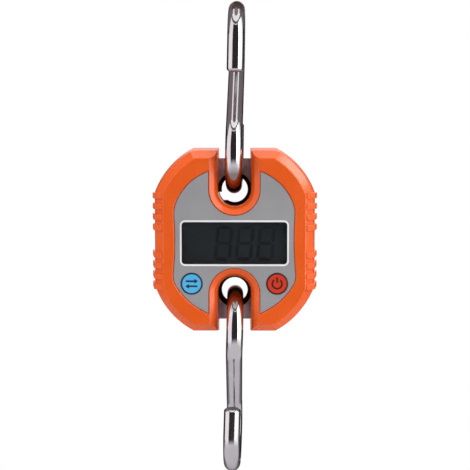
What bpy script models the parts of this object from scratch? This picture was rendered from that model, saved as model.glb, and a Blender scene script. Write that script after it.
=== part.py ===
"""Pocket crane scale: a moulded two-part housing round an S-shaped load cell, hung between two S-hooks.

Lengths are in metres. The scale hangs as it is used, front towards -Y. The world origin is the point
inside the upper hook where it bears on whatever it hangs from.
"""

import math

import bmesh
import bpy
from mathutils import Matrix, Vector

# Fits
GAP = 0.0003                  # between pieces that touch
PARTING_GAP = 0.0003          # between the two covers
OVERCUT = 0.002               # how far a cutter runs past the face that it opens

# Hooks, both bent from the same rod
ROD_DIAMETER = 0.008
HOOK_LENGTH = 0.092
HOOK_LOOP_RADIUS = 0.017      # to the middle of the rod
HOOK_TIP_LENGTH = 0.035       # outside of a loop to the cut end of the rod
TIP_CHAMFER = 0.0008
PULL_LEAN = math.radians(0.9)           # free play: how the hooks hang in their eyes
UPPER_HOOK_TWIST = math.radians(-0.5)
LOWER_HOOK_TWIST = math.radians(-1.9)
ROD_SIDES_HALF = 6            # bevel resolution of the rod
LOOP_STEPS = 16               # in half a turn

# Load cell
EYE_SPACING = 0.0492
EYE_DIAMETER = 0.0126
EYE_CHAMFER = 0.002
EYE_LIGAMENT = 0.0086         # metal between an eye and the end of the load cell
CELL_WIDTH = 0.034
CELL_THICKNESS = 0.008
SLOT_HEIGHT = 0.004
SLOT_DROP = 0.0033            # middle of a slot from the middle of its eye, towards the other eye
GAUGE_POCKET_DIAMETER = 0.018
GAUGE_WEB = 0.002
GAUGE_SIZE = 0.009
GAUGE_THICKNESS = 0.0003
GAUGE_COVER_THICKNESS = 0.0008
CELL_SCREW_X = 0.0125
CELL_SCREW_DIAMETER = 0.003
CELL_SCREW_EDGE = 0.0045      # from the end of the load cell

# Housing outline at the parting line
HOUSING_WIDTH = 0.078
HOUSING_HEIGHT = 0.0892
TOP_FLAT = 0.040
SIDE_FLAT = 0.046
CORNER_BULGE = 0.0027
WALL = 0.002
SLOPE_SHARE = 0.7             # of a wall, that the inside corner of a sloped edge moves in
DRAFT = 0.0016                # the sides draw in by this much from the parting line to the edge
EDGE_WIDTH = 0.0038           # sloped edge round the front
EDGE_DEPTH = 0.0048
REAR_EDGE_WIDTH = 0.0026      # sloped edge round the back
REAR_EDGE_DEPTH = 0.0026
NOTCH_WIDTH = 0.015
NOTCH_DRAFT = 0.0006
NOTCH_STEPS = 16

# Grip ribs on both sides of the housing
RIB_HEIGHT = 0.0028
RIB_PITCH = 0.00505
RIB_FIRST = 0.0065            # first rib from the middle of the side
RIB_COUNT = 4
RIB_PROUD = 0.001

# Face panel, window and keys
PANEL_THICKNESS = 0.0005
PANEL_SINK = 0.0002           # panel below the front face
PANEL_LIP = 0.0004            # flat rim left between a notch and the panel
PANEL_APEX = 0.033
PANEL_SHOULDER = (0.0285, 0.015)
PANEL_HIP = (0.0291, -0.018)
PANEL_TOP_BULGE = 0.0031
PANEL_WAIST = 0.0007
PANEL_LOW_BULGE = 0.0025
LENS_WIDTH = 0.0517
LENS_HEIGHT = 0.022
LENS_CORNER = 0.002
LENS_Z = -0.0006
LENS_BORDER = 0.0012
KEY_X = 0.0202
KEY_Z = -0.0198
KEY_DIAMETER = 0.0094
KEY_CLEARANCE = 0.0004
KEY_TRAVEL = 0.0004
KEY_FLANGE = 0.001            # how far the flange reaches past the hole
KEY_FLANGE_THICKNESS = 0.0009
KEY_STEM_DIAMETER = 0.003
KEY_PROUD = 0.0001
KEY_ROUND = 0.0004

# Display and board, stacked behind the front face
GLASS_WIDTH = 0.054
GLASS_HEIGHT = 0.024
GLASS_THICKNESS = 0.0024
BACKLIGHT_THICKNESS = 0.0026
BOARD_WIDTH = 0.063
BOARD_TOP = 0.014
BOARD_BOTTOM = -0.025
BOARD_THICKNESS = 0.0016
BOARD_TO_CELL = 0.0025
BOARD_SCREW_X = 0.0293
BOARD_SCREW_Z = 0.009
BOARD_SCREW_DIAMETER = 0.0018
BOARD_BOSS_DIAMETER = 0.0038
BOARD_SCREW_LENGTH = 0.005
SWITCH_SIZE = 0.006
SWITCH_HEIGHT = 0.003
PLUNGER_DIAMETER = 0.0034
PLUNGER_SUNK = 0.0008
CHIPS = (("controller_chip", 0.0, -0.001, 0.010), ("converter_chip", 0.017, 0.004, 0.006))
CHIP_THICKNESS = 0.001

# Battery tray, behind the load cell
BATTERY_DIAMETER = 0.0103
BATTERY_LENGTH = 0.0435
BATTERY_NUB = 0.001
BATTERY_NUB_DIAMETER = 0.0038
TRAY_FLOOR = 0.0015
TRAY_WALL = 0.003
TRAY_LEDGE = 0.0012
CONTACT_ROOM = 0.004          # at each end of a battery, for its contact
CONTACT_THICKNESS = 0.0005
CONTACT_SIZE = 0.0085
SPRING_WIRE = 0.0007
SPRING_TURNS = 3
SPRING_DIAMETER = 0.0055
DOOR_THICKNESS = 0.0018
DOOR_SINK = 0.0002
DOOR_GROOVES = 4
DOOR_GROOVE = 0.0008           # width and depth
DOOR_GROOVE_PITCH = 0.0016
DOOR_GROOVE_EDGE = 0.0032     # first groove from the end of the door
DOOR_GROOVE_LENGTH = 0.012

# Housing screws
SCREW_X = 0.0255
SCREW_Z = 0.029
SCREW_DIAMETER = 0.0026
SCREW_HEAD_DIAMETER = 0.0048
SCREW_HEAD = 0.0018
SCREW_LENGTH = 0.012
SCREW_SEAT_DEPTH = 0.008      # head seat below the back face
BOSS_DIAMETER = 0.0068
CROSS_SIZE = 0.0024
CROSS_WIDTH = 0.0006
CROSS_DEPTH = 0.0008

# Derived places
ROD_RADIUS = ROD_DIAMETER / 2
EYE_Z = EYE_SPACING / 2
EYE_RADIUS = EYE_DIAMETER / 2
CELL_HEIGHT = EYE_SPACING + EYE_DIAMETER + 2 * EYE_LIGAMENT
CELL_HALF_Y = CELL_THICKNESS / 2
CELL_SCREW_Z = CELL_HEIGHT / 2 - CELL_SCREW_EDGE
EYE_LAND = CELL_HALF_Y - EYE_CHAMFER
BEARING_RADIUS = HOOK_LOOP_RADIUS - ROD_RADIUS - GAP
LOOP_Z = EYE_Z + EYE_RADIUS + math.sqrt(BEARING_RADIUS ** 2 - EYE_LAND ** 2)
LOOP_SPACING = HOOK_LENGTH - 2 * (HOOK_LOOP_RADIUS + ROD_RADIUS)
HANG_Z = LOOP_Z + LOOP_SPACING + HOOK_LOOP_RADIUS - ROD_RADIUS

BOARD_BACK_Y = -CELL_HALF_Y - BOARD_TO_CELL
BOARD_FRONT_Y = BOARD_BACK_Y - BOARD_THICKNESS
BACKLIGHT_Y = BOARD_FRONT_Y - GAP
GLASS_Y = BACKLIGHT_Y - BACKLIGHT_THICKNESS - GAP
INNER_FRONT_Y = GLASS_Y - GLASS_THICKNESS - GAP
FRONT_Y = INNER_FRONT_Y - WALL
PANEL_FRONT_Y = FRONT_Y + PANEL_SINK
PANEL_BACK_Y = PANEL_FRONT_Y + PANEL_THICKNESS
RECESS_Y = PANEL_BACK_Y + GAP

TRAY_FRONT_Y = CELL_HALF_Y + 2 * GAP
TRAY_FLOOR_Y = TRAY_FRONT_Y + TRAY_FLOOR
BATTERY_Y = TRAY_FLOOR_Y + GAP + BATTERY_DIAMETER / 2
BATTERY_Z = BATTERY_DIAMETER / 2 + GAP
DOOR_FRONT_Y = BATTERY_Y + BATTERY_DIAMETER / 2 + GAP
DOOR_BACK_Y = DOOR_FRONT_Y + DOOR_THICKNESS
REAR_Y = DOOR_BACK_Y + DOOR_SINK
TRAY_HALF_X = (BATTERY_LENGTH + BATTERY_NUB) / 2 + CONTACT_ROOM
TRAY_HALF_Z = BATTERY_DIAMETER + 3 * GAP
DOOR_HALF_X = TRAY_HALF_X + TRAY_LEDGE
DOOR_HALF_Z = TRAY_HALF_Z + TRAY_LEDGE

RIB_PLACES = [RIB_FIRST + RIB_PITCH * step for step in range(RIB_COUNT)]
CORNERS = [(side, end) for side in (-1, 1) for end in (-1, 1)]

for old in list(bpy.data.objects):
    bpy.data.objects.remove(old, do_unlink=True)

parts = bpy.data.collections.new("crane_scale")
cutters = bpy.data.collections.new("cutters")
bpy.context.scene.collection.children.link(parts)
bpy.context.scene.collection.children.link(cutters)


def pivot(name, place, parent=None):
    """An empty on a joint's axis, given by its place from the middle of the housing."""
    empty = bpy.data.objects.new(name, None)
    parts.objects.link(empty)
    empty.parent = parent
    offset = parent["place"] if parent else Vector((0, 0, HANG_Z))
    empty["place"] = Vector(place)
    empty.location = Vector(place) - Vector(offset)
    return empty


hanger = pivot("hanger", (0, 0, HANG_Z))
housing_pivot = pivot("housing_pivot", (0, 0, LOOP_Z), hanger)
lower_pivot = pivot("lower_pivot", (0, 0, -LOOP_Z), housing_pivot)


def finish(name, colour, roughness, metallic=0.0):
    """A plain finish for one kind of surface."""
    material = bpy.data.materials.new(name)
    material.use_nodes = True
    shader = material.node_tree.nodes["Principled BSDF"]
    shader.inputs["Base Color"].default_value = (*colour, 1.0)
    shader.inputs["Roughness"].default_value = roughness
    shader.inputs["Metallic"].default_value = metallic
    return material


ORANGE = finish("orange_abs", (0.75, 0.10, 0.015), 0.3)
STEEL = finish("polished_steel", (0.62, 0.61, 0.60), 0.12, 1.0)
CELL_ALLOY = finish("machined_alloy", (0.33, 0.30, 0.30), 0.4, 1.0)
GREY = finish("grey_film", (0.30, 0.30, 0.31), 0.45)
CLEAR = finish("clear_acrylic", (0.05, 0.06, 0.065), 0.05)
GLASS = finish("display_glass", (0.025, 0.03, 0.032), 0.1)
WHITE = finish("white_plastic", (0.8, 0.8, 0.8), 0.5)
BLUE = finish("blue_key", (0.07, 0.45, 0.80), 0.35)
RED = finish("red_key", (0.72, 0.05, 0.01), 0.35)
BOARD = finish("green_board", (0.02, 0.18, 0.07), 0.4)
BLACK = finish("black_plastic", (0.02, 0.02, 0.022), 0.5)
FOIL = finish("gauge_foil", (0.60, 0.35, 0.12), 0.5)
SILICONE = finish("white_silicone", (0.75, 0.75, 0.72), 0.7)
CELL_JACKET = finish("battery_jacket", (0.05, 0.05, 0.06), 0.35)
PLATED = finish("nickel_plate", (0.65, 0.62, 0.55), 0.25, 1.0)


def part(name, mesh, material, parent=housing_pivot, place=None):
    """Add a finished piece, with its origin at a place measured from the middle of the housing."""
    place = Vector(place if place is not None else parent["place"])
    mesh.transform(Matrix.Translation(-place))
    mesh.materials.append(material)
    mesh.name = name
    obj = bpy.data.objects.new(name, mesh)
    parts.objects.link(obj)
    obj.parent = parent
    obj.location = place - Vector(parent["place"])
    return obj


def shape(obj, operation, name, mesh):
    """Cut a mesh from a piece, or join it to the piece."""
    tool = bpy.data.objects.new(name, mesh)
    cutters.objects.link(tool)
    mesh.transform(Matrix.Translation(-Vector(housing_pivot["place"])))
    tool.parent = housing_pivot
    tool.hide_render = True
    tool.display_type = "WIRE"
    boolean = obj.modifiers.new(name, "BOOLEAN")
    boolean.operation = operation
    boolean.solver = "EXACT"
    boolean.object = tool
    return tool


def to_mesh(name, bm):
    """Turn a bmesh into a closed mesh with its faces pointing out."""
    bmesh.ops.recalc_face_normals(bm, faces=bm.faces)
    mesh = bpy.data.meshes.new(name)
    bm.to_mesh(mesh)
    bm.free()
    return mesh


def smooth(mesh, degrees=35):
    mesh.shade_smooth()
    mesh.set_sharp_from_angle(angle=math.radians(degrees))
    return mesh


def joined(name, meshes):
    """Several separate bodies in one mesh, for holes or bosses that repeat."""
    bm = bmesh.new()
    for mesh in meshes:
        bm.from_mesh(mesh)
        bpy.data.meshes.remove(mesh)
    return to_mesh(name, bm)


def box(x, y, z):
    """A box between two limits on each axis."""
    bm = bmesh.new()
    bmesh.ops.create_cube(bm, size=1.0)
    size = Vector((x[1] - x[0], y[1] - y[0], z[1] - z[0]))
    middle = Vector((x[0] + x[1], y[0] + y[1], z[0] + z[1])) / 2
    placed = Matrix.Translation(middle) @ Matrix.Diagonal((*size, 1.0))
    bmesh.ops.transform(bm, matrix=placed, verts=bm.verts)
    return to_mesh("box", bm)


def turned(x, z, stations, steps=24):
    """A round piece along Y, from (y, radius) stations."""
    rings = []
    for y, radius in stations:
        turns = [2 * math.pi * step / steps for step in range(steps)]
        rings.append([Vector((x + radius * math.cos(t), y, z + radius * math.sin(t))) for t in turns])
    return loft(rings)


def loft(rings):
    """A closed solid through rings that have the same number of points."""
    bm = bmesh.new()
    loops = [[bm.verts.new(point) for point in ring] for ring in rings]
    for near, far in zip(loops, loops[1:]):
        for index in range(len(near)):
            after = (index + 1) % len(near)
            bm.faces.new((near[index], near[after], far[after], far[index]))
    bm.faces.new(loops[0])
    bm.faces.new(loops[-1])
    return to_mesh("loft", bm)


def ring_at(outline, y):
    return [Vector((x, y, z)) for x, z in outline]


def slab(outline, front_y, back_y):
    """A flat piece of one outline."""
    return loft([ring_at(outline, front_y), ring_at(outline, back_y)])


def arc(start, end, bulge, steps):
    """Points after start up to end, on an arc that stands off its chord by the bulge, to the left."""
    start, end = Vector(start), Vector(end)
    chord = end - start
    left = Vector((-chord.y, chord.x)).normalized()
    radius = (chord.length / 2) ** 2 / (2 * bulge) + bulge / 2
    centre = (start + end) / 2 + left * (bulge - radius)
    sweep = -2 * math.asin(chord.length / (2 * abs(radius))) * math.copysign(1, bulge)
    spoke = start - centre
    points = []
    for step in range(1, steps + 1):
        points.append(tuple(centre + Matrix.Rotation(sweep * step / steps, 2) @ spoke))
    return points


def inset(outline, distance):
    """An outline moved in by a distance, with square corners. The outline runs clockwise."""
    moved = []
    for index, corner in enumerate(outline):
        here = Vector(corner)
        before = (here - Vector(outline[index - 1])).normalized()
        after = (Vector(outline[(index + 1) % len(outline)]) - here).normalized()
        normal_before = Vector((before.y, -before.x))
        normal_after = Vector((after.y, -after.x))
        mitre = normal_before + normal_after
        moved.append(tuple(here + mitre * (distance / (1 + normal_before.dot(normal_after)))))
    return moved


def housing_outline(distance=0.0):
    """The housing's outline, clockwise from the top, moved in by a distance."""
    half_width, half_height = HOUSING_WIDTH / 2, HOUSING_HEIGHT / 2
    top, side = TOP_FLAT / 2, SIDE_FLAT / 2
    corner_steps = 6
    points = [(top, half_height)]
    points += arc((top, half_height), (half_width, side), CORNER_BULGE, corner_steps)
    points.append((half_width, -side))
    points += arc((half_width, -side), (top, -half_height), CORNER_BULGE, corner_steps)
    points += [(-x, -z) for x, z in points]
    return inset(points, distance)


def rounded_box(width, height, radius, middle_z, steps=4):
    """A rectangle with round corners, clockwise."""
    points = []
    for quarter, (side, end) in enumerate(((1, 1), (1, -1), (-1, -1), (-1, 1))):
        centre = (side * (width / 2 - radius), middle_z + end * (height / 2 - radius))
        for step in range(steps + 1):
            turn = math.pi / 2 * (1 - quarter - step / steps)
            points.append((centre[0] + radius * math.cos(turn), centre[1] + radius * math.sin(turn)))
    return points


def notch_outline(half_width, end):
    """The U round an eye, open at the end of the housing. The end is 1 at the top and -1 at the bottom."""
    mouth = HOUSING_HEIGHT / 2 + OVERCUT
    points = [(half_width, mouth)]
    for step in range(NOTCH_STEPS + 1):
        turn = math.pi * step / NOTCH_STEPS
        points.append((half_width * math.cos(turn), EYE_Z - half_width * math.sin(turn)))
    points.append((-half_width, mouth))
    return [(x, end * z) for x, z in points]


def notch(end, grow=0.0):
    """The space of a notch through both covers, with its sloped edge front and back."""
    half = NOTCH_WIDTH / 2 + grow
    edge = half + NOTCH_DRAFT
    front_over = OVERCUT * EDGE_WIDTH / EDGE_DEPTH
    rear_over = OVERCUT * REAR_EDGE_WIDTH / REAR_EDGE_DEPTH
    stations = (
        (FRONT_Y - OVERCUT, edge + EDGE_WIDTH + front_over),
        (FRONT_Y + EDGE_DEPTH, edge),
        (0.0, half),
        (REAR_Y - REAR_EDGE_DEPTH, edge),
        (REAR_Y + OVERCUT, edge + REAR_EDGE_WIDTH + rear_over),
    )
    return loft([ring_at(notch_outline(width, end), y) for y, width in stations])


def sloped_edge(face_y):
    """The width of a cover's sloped edge, and where it starts along Y."""
    if face_y < 0:
        return EDGE_WIDTH, face_y + EDGE_DEPTH
    return REAR_EDGE_WIDTH, face_y - REAR_EDGE_DEPTH


def cover_block(parting_y, face_y, inside=0.0):
    """The full outer form of one cover, or the hollow inside it at a wall's distance."""
    edge_width, edge_y = sloped_edge(face_y)
    inner_face_y = face_y - math.copysign(inside, face_y)
    slope_inset = inside * SLOPE_SHARE
    return loft([
        ring_at(housing_outline(inside), parting_y),
        ring_at(housing_outline(DRAFT + inside), edge_y),
        ring_at(housing_outline(DRAFT + edge_width + slope_inset), inner_face_y),
    ])


def ribs(parting_y, face_y):
    """Grip ribs that run over the side and the sloped edge of one cover."""
    back = math.copysign(1, face_y)
    edge_width, edge_y = sloped_edge(face_y)
    half = HOUSING_WIDTH / 2
    root = WALL / 2
    top_y = face_y - back * PANEL_SINK
    section = (
        (half - root, parting_y),
        (half + RIB_PROUD, parting_y),
        (half - DRAFT + RIB_PROUD, edge_y),
        (half - DRAFT - edge_width + RIB_PROUD, top_y),
        (half - DRAFT - edge_width - root, top_y),
        (half - DRAFT - root, edge_y),
    )
    bars = []
    for side, end in CORNERS:
        for place in RIB_PLACES:
            low, high = end * place - RIB_HEIGHT / 2, end * place + RIB_HEIGHT / 2
            bars.append(loft([[Vector((side * x, y, z)) for x, y in section] for z in (low, high)]))
    return joined("ribs", bars)


def cell_pocket():
    """The room that the covers leave for the load cell."""
    half_x, half_z = CELL_WIDTH / 2 + GAP, CELL_HEIGHT / 2 + GAP
    half_y = CELL_HALF_Y + GAP
    return box((-half_x, half_x), (-half_y, half_y), (-half_z, half_z))


def hollow_out(cover, parting_y, face_y):
    """Cut both notches and the inside out of a cover, leaving a wall round the notches."""
    for label, end in (("upper", 1), ("lower", -1)):
        shape(cover, "DIFFERENCE", f"{cover.name}_{label}_notch", notch(end))
    past_parting = parting_y - math.copysign(OVERCUT, face_y)
    hollow = cover_block(past_parting, face_y, WALL)
    inside = shape(cover, "DIFFERENCE", f"{cover.name}_inside", hollow)
    for label, end in (("upper", 1), ("lower", -1)):
        shape(inside, "DIFFERENCE", f"{cover.name}_{label}_notch_wall", notch(end, WALL))


def panel_outline(clearance=0.0):
    """The face panel's outline, clockwise, without its two round cut-outs."""
    notch_edge = NOTCH_WIDTH / 2 + NOTCH_DRAFT + EDGE_WIDTH + PANEL_LIP
    top, bottom = (notch_edge, PANEL_APEX), (notch_edge, -PANEL_APEX)
    right = [top]
    right += arc(top, PANEL_SHOULDER, PANEL_TOP_BULGE, 8)
    right += arc(PANEL_SHOULDER, PANEL_HIP, -PANEL_WAIST, 6)
    right += arc(PANEL_HIP, bottom, PANEL_LOW_BULGE, 8)
    upper = notch_arc(notch_edge, 1)
    lower = notch_arc(notch_edge, -1)
    left = [(-x, z) for x, z in reversed(right)]
    outline = right + lower + left + upper
    return inset(outline, -clearance)


def notch_arc(radius, end):
    """The round end of a notch at the panel, from right to left at the bottom and back at the top."""
    points = []
    for step in range(NOTCH_STEPS + 1):
        turn = math.pi * step / NOTCH_STEPS
        points.append((-end * radius * math.cos(turn), end * (EYE_Z - radius * math.sin(turn))))
    return points


# S-hook: one rod, bent into two loops that open on opposite sides, with square-cut ends
def hook_route():
    """The rod's route from the tip behind the eye to the tip of the outer loop, in (y, z)."""
    lean = math.asin(2 * HOOK_LOOP_RADIUS / LOOP_SPACING)
    straight = HOOK_TIP_LENGTH - HOOK_LOOP_RADIUS - ROD_RADIUS
    loop_turn = math.pi + lean
    steps = round(LOOP_STEPS * loop_turn / math.pi)
    lower = []
    for step in range(steps + 1):
        turn = -loop_turn * step / steps
        lower.append(Vector((HOOK_LOOP_RADIUS * math.cos(turn), HOOK_LOOP_RADIUS * math.sin(turn))))
    half = [Vector((HOOK_LOOP_RADIUS, straight))] + lower
    return half + [Vector((0, LOOP_SPACING)) - point for point in reversed(half)]


def hook_mesh():
    """The rod swept along its route, with a small chamfer on both cut ends. Its origin is the eye loop."""
    route = hook_route()
    tip_down = Vector((0, TIP_CHAMFER))
    route = [route[0], route[0] - tip_down] + route[1:-1] + [route[-1] + tip_down, route[-1]]
    curve = bpy.data.curves.new("hook_rod", "CURVE")
    curve.dimensions = "3D"
    spline = curve.splines.new("POLY")
    spline.points.add(len(route) - 1)
    for point, place in zip(spline.points, route):
        point.co = (0, place.x, place.y, 1)
    chamfered = 1 - TIP_CHAMFER / ROD_RADIUS
    spline.points[0].radius = chamfered
    spline.points[-1].radius = chamfered
    curve.bevel_depth = ROD_RADIUS
    curve.bevel_resolution = ROD_SIDES_HALF
    curve.use_fill_caps = True
    rod = bpy.data.objects.new("hook_rod", curve)
    cutters.objects.link(rod)
    evaluated = rod.evaluated_get(bpy.context.evaluated_depsgraph_get())
    mesh = bpy.data.meshes.new_from_object(evaluated)
    bpy.data.objects.remove(rod)
    bm = bmesh.new()
    bm.from_mesh(mesh)
    bmesh.ops.remove_doubles(bm, verts=bm.verts, dist=0.00001)
    bpy.data.meshes.remove(mesh)
    return smooth(to_mesh("hook", bm), 40)


def hung(mesh, end, twist):
    """Hang a hook in the eye at one end of the load cell. The end is 1 at the top and -1 at the bottom."""
    if end < 0:
        mesh.transform(Matrix.Rotation(math.pi, 4, "Y"))
    mesh.transform(Matrix.Rotation(PULL_LEAN, 4, "Y") @ Matrix.Rotation(twist, 4, "Z"))
    mesh.transform(Matrix.Translation((0, 0, end * LOOP_Z)))
    return mesh


part("upper_hook", hung(hook_mesh(), 1, UPPER_HOOK_TWIST), STEEL, hanger)
part("lower_hook", hung(hook_mesh(), -1, LOWER_HOOK_TWIST), STEEL, lower_pivot)


# Load cell: a machined block with an eye at each end, slotted from opposite sides into an S
def eye(end):
    """An eye with a wide chamfer on both faces."""
    wide = EYE_RADIUS + EYE_CHAMFER
    stations = (
        (-CELL_HALF_Y - OVERCUT, wide + OVERCUT),
        (-EYE_LAND, EYE_RADIUS),
        (EYE_LAND, EYE_RADIUS),
        (CELL_HALF_Y + OVERCUT, wide + OVERCUT),
    )
    return turned(0, end * EYE_Z, stations, 32)


def slot(end):
    """The slot from an eye out to one edge: the left one from the upper eye, the right from the lower."""
    half_x = CELL_WIDTH / 2 + OVERCUT
    middle = end * (EYE_Z - SLOT_DROP)
    x = (-half_x, 0) if end > 0 else (0, half_x)
    y = (-CELL_HALF_Y - OVERCUT, CELL_HALF_Y + OVERCUT)
    return box(x, y, (middle - SLOT_HEIGHT / 2, middle + SLOT_HEIGHT / 2))


half_cell = (CELL_WIDTH / 2, CELL_HEIGHT / 2)
load_cell = part(
    "load_cell",
    box((-half_cell[0], half_cell[0]), (-CELL_HALF_Y, CELL_HALF_Y), (-half_cell[1], half_cell[1])),
    CELL_ALLOY,
)
pocket_radius = GAUGE_POCKET_DIAMETER / 2
for label, end in (("upper", 1), ("lower", -1)):
    shape(load_cell, "DIFFERENCE", f"{label}_eye", eye(end))
    shape(load_cell, "DIFFERENCE", f"{label}_slot", slot(end))
for label, face in (("front", -1), ("rear", 1)):
    web_y = face * GAUGE_WEB / 2
    pocket = turned(0, 0, ((web_y, pocket_radius), (face * (CELL_HALF_Y + OVERCUT), pocket_radius)))
    shape(load_cell, "DIFFERENCE", f"{label}_gauge_pocket", pocket)
    foil_y = web_y + face * GAP
    cover_y = face * (CELL_HALF_Y - GAUGE_COVER_THICKNESS)
    half = GAUGE_SIZE / 2
    foil_back_y = foil_y + face * GAUGE_THICKNESS
    foil = box((-half, half), (min(foil_y, foil_back_y), max(foil_y, foil_back_y)), (-half, half))
    part(f"{label}_strain_gauge", foil, FOIL)
    plug = turned(0, 0, ((cover_y, pocket_radius - GAP), (face * CELL_HALF_Y, pocket_radius - GAP)))
    part(f"{label}_gauge_seal", plug, SILICONE)

cell_screw_places = [(side * CELL_SCREW_X, CELL_SCREW_Z) for side in (-1, 1)]
cell_screw_hole = CELL_SCREW_DIAMETER / 2 + GAP
through_y = CELL_HALF_Y + OVERCUT
shape(load_cell, "DIFFERENCE", "cell_screw_holes", joined("cell_screw_holes", [
    turned(x, z, ((-through_y, cell_screw_hole), (through_y, cell_screw_hole)), 16)
    for x, z in cell_screw_places
]))


# Front cover: orange moulding with a sunk face for the panel, a window and two key holes
front_parting_y = -PARTING_GAP / 2
front_cover = part("front_cover", cover_block(front_parting_y, FRONT_Y), ORANGE)
hollow_out(front_cover, front_parting_y, FRONT_Y)
shape(front_cover, "UNION", "front_ribs", ribs(front_parting_y, FRONT_Y))

screw_places = [(side * SCREW_X, end * SCREW_Z) for side, end in CORNERS]
board_screw_places = [(side * BOARD_SCREW_X, end * BOARD_SCREW_Z) for side, end in CORNERS]
embedded_y = INNER_FRONT_Y - WALL / 2
board_seat_y = BOARD_FRONT_Y - GAP
bosses = [
    turned(x, z, ((embedded_y, BOSS_DIAMETER / 2), (front_parting_y, BOSS_DIAMETER / 2)), 16)
    for x, z in screw_places
]
bosses += [
    turned(x, z, ((embedded_y, BOARD_BOSS_DIAMETER / 2), (board_seat_y, BOARD_BOSS_DIAMETER / 2)), 12)
    for x, z in board_screw_places
]
shape(front_cover, "UNION", "front_bosses", joined("front_bosses", bosses))

shape(front_cover, "DIFFERENCE", "panel_recess", slab(panel_outline(GAP), FRONT_Y - OVERCUT, RECESS_Y))
window = rounded_box(LENS_WIDTH - 2 * LENS_BORDER, LENS_HEIGHT - 2 * LENS_BORDER, LENS_CORNER / 2, LENS_Z)
key_hole = KEY_DIAMETER / 2 + KEY_CLEARANCE
key_places = [(-KEY_X, KEY_Z), (KEY_X, KEY_Z)]
opening_y = (FRONT_Y - OVERCUT, INNER_FRONT_Y + OVERCUT / 2)
openings = [slab(window, *opening_y)]
openings += [turned(x, z, [(y, key_hole) for y in opening_y]) for x, z in key_places]
shape(front_cover, "DIFFERENCE", "front_openings", joined("front_openings", openings))

screw_seat_y = REAR_Y - SCREW_SEAT_DEPTH
screw_end_y = screw_seat_y - GAP - SCREW_LENGTH
pilots = [
    turned(x, z, ((screw_end_y - GAP, SCREW_DIAMETER / 2 + GAP), (OVERCUT, SCREW_DIAMETER / 2 + GAP)), 12)
    for x, z in screw_places
]
board_screw_end_y = BOARD_BACK_Y + GAP - BOARD_SCREW_LENGTH
board_pilot = BOARD_SCREW_DIAMETER / 2 + GAP
pilots += [
    turned(x, z, ((board_screw_end_y - GAP, board_pilot), (board_seat_y + OVERCUT, board_pilot)), 12)
    for x, z in board_screw_places
]
shape(front_cover, "DIFFERENCE", "front_pilots", joined("front_pilots", pilots))
shape(front_cover, "DIFFERENCE", "front_cell_pocket", cell_pocket())

# Face panel and window: thin sheets in the sunk face, with the keys standing in round holes
panel = part("face_panel", slab(panel_outline(), PANEL_FRONT_Y, PANEL_BACK_Y), GREY)
lens_hole = rounded_box(LENS_WIDTH + GAP, LENS_HEIGHT + GAP, LENS_CORNER + GAP / 2, LENS_Z)
panel_y = (PANEL_FRONT_Y - OVERCUT, PANEL_BACK_Y + OVERCUT)
panel_holes = [slab(lens_hole, *panel_y)]
panel_holes += [turned(x, z, [(y, key_hole) for y in panel_y]) for x, z in key_places]
shape(panel, "DIFFERENCE", "panel_holes", joined("panel_holes", panel_holes))
lens = rounded_box(LENS_WIDTH, LENS_HEIGHT, LENS_CORNER, LENS_Z)
part("window_lens", slab(lens, PANEL_FRONT_Y, PANEL_BACK_Y), CLEAR)

# Display and board
half_glass = (GLASS_WIDTH / 2, GLASS_HEIGHT / 2)
glass_z = (LENS_Z - half_glass[1], LENS_Z + half_glass[1])
glass_x = (-half_glass[0], half_glass[0])
part("display_glass", box(glass_x, (GLASS_Y - GLASS_THICKNESS, GLASS_Y), glass_z), GLASS)
part("backlight", box(glass_x, (BACKLIGHT_Y - BACKLIGHT_THICKNESS, BACKLIGHT_Y), glass_z), WHITE)

board_half = BOARD_WIDTH / 2
board_z = (BOARD_BOTTOM, BOARD_TOP)
board = part("main_board", box((-board_half, board_half), (BOARD_FRONT_Y, BOARD_BACK_Y), board_z), BOARD)
tower = NOTCH_WIDTH / 2 + NOTCH_DRAFT + WALL + GAP
board_cut = slab(notch_outline(tower, -1), BOARD_FRONT_Y - OVERCUT, BOARD_BACK_Y + OVERCUT)
shape(board, "DIFFERENCE", "board_notch", board_cut)
board_hole_y = (BOARD_FRONT_Y - OVERCUT, BOARD_BACK_Y + OVERCUT)
shape(board, "DIFFERENCE", "board_holes", joined("board_holes", [
    turned(x, z, [(y, board_pilot) for y in board_hole_y], 12) for x, z in board_screw_places
]))
for name, x, z, size in CHIPS:
    chip_y = (BOARD_BACK_Y + GAP, BOARD_BACK_Y + GAP + CHIP_THICKNESS)
    part(name, box((x - size / 2, x + size / 2), chip_y, (z - size / 2, z + size / 2)), BLACK)

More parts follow.
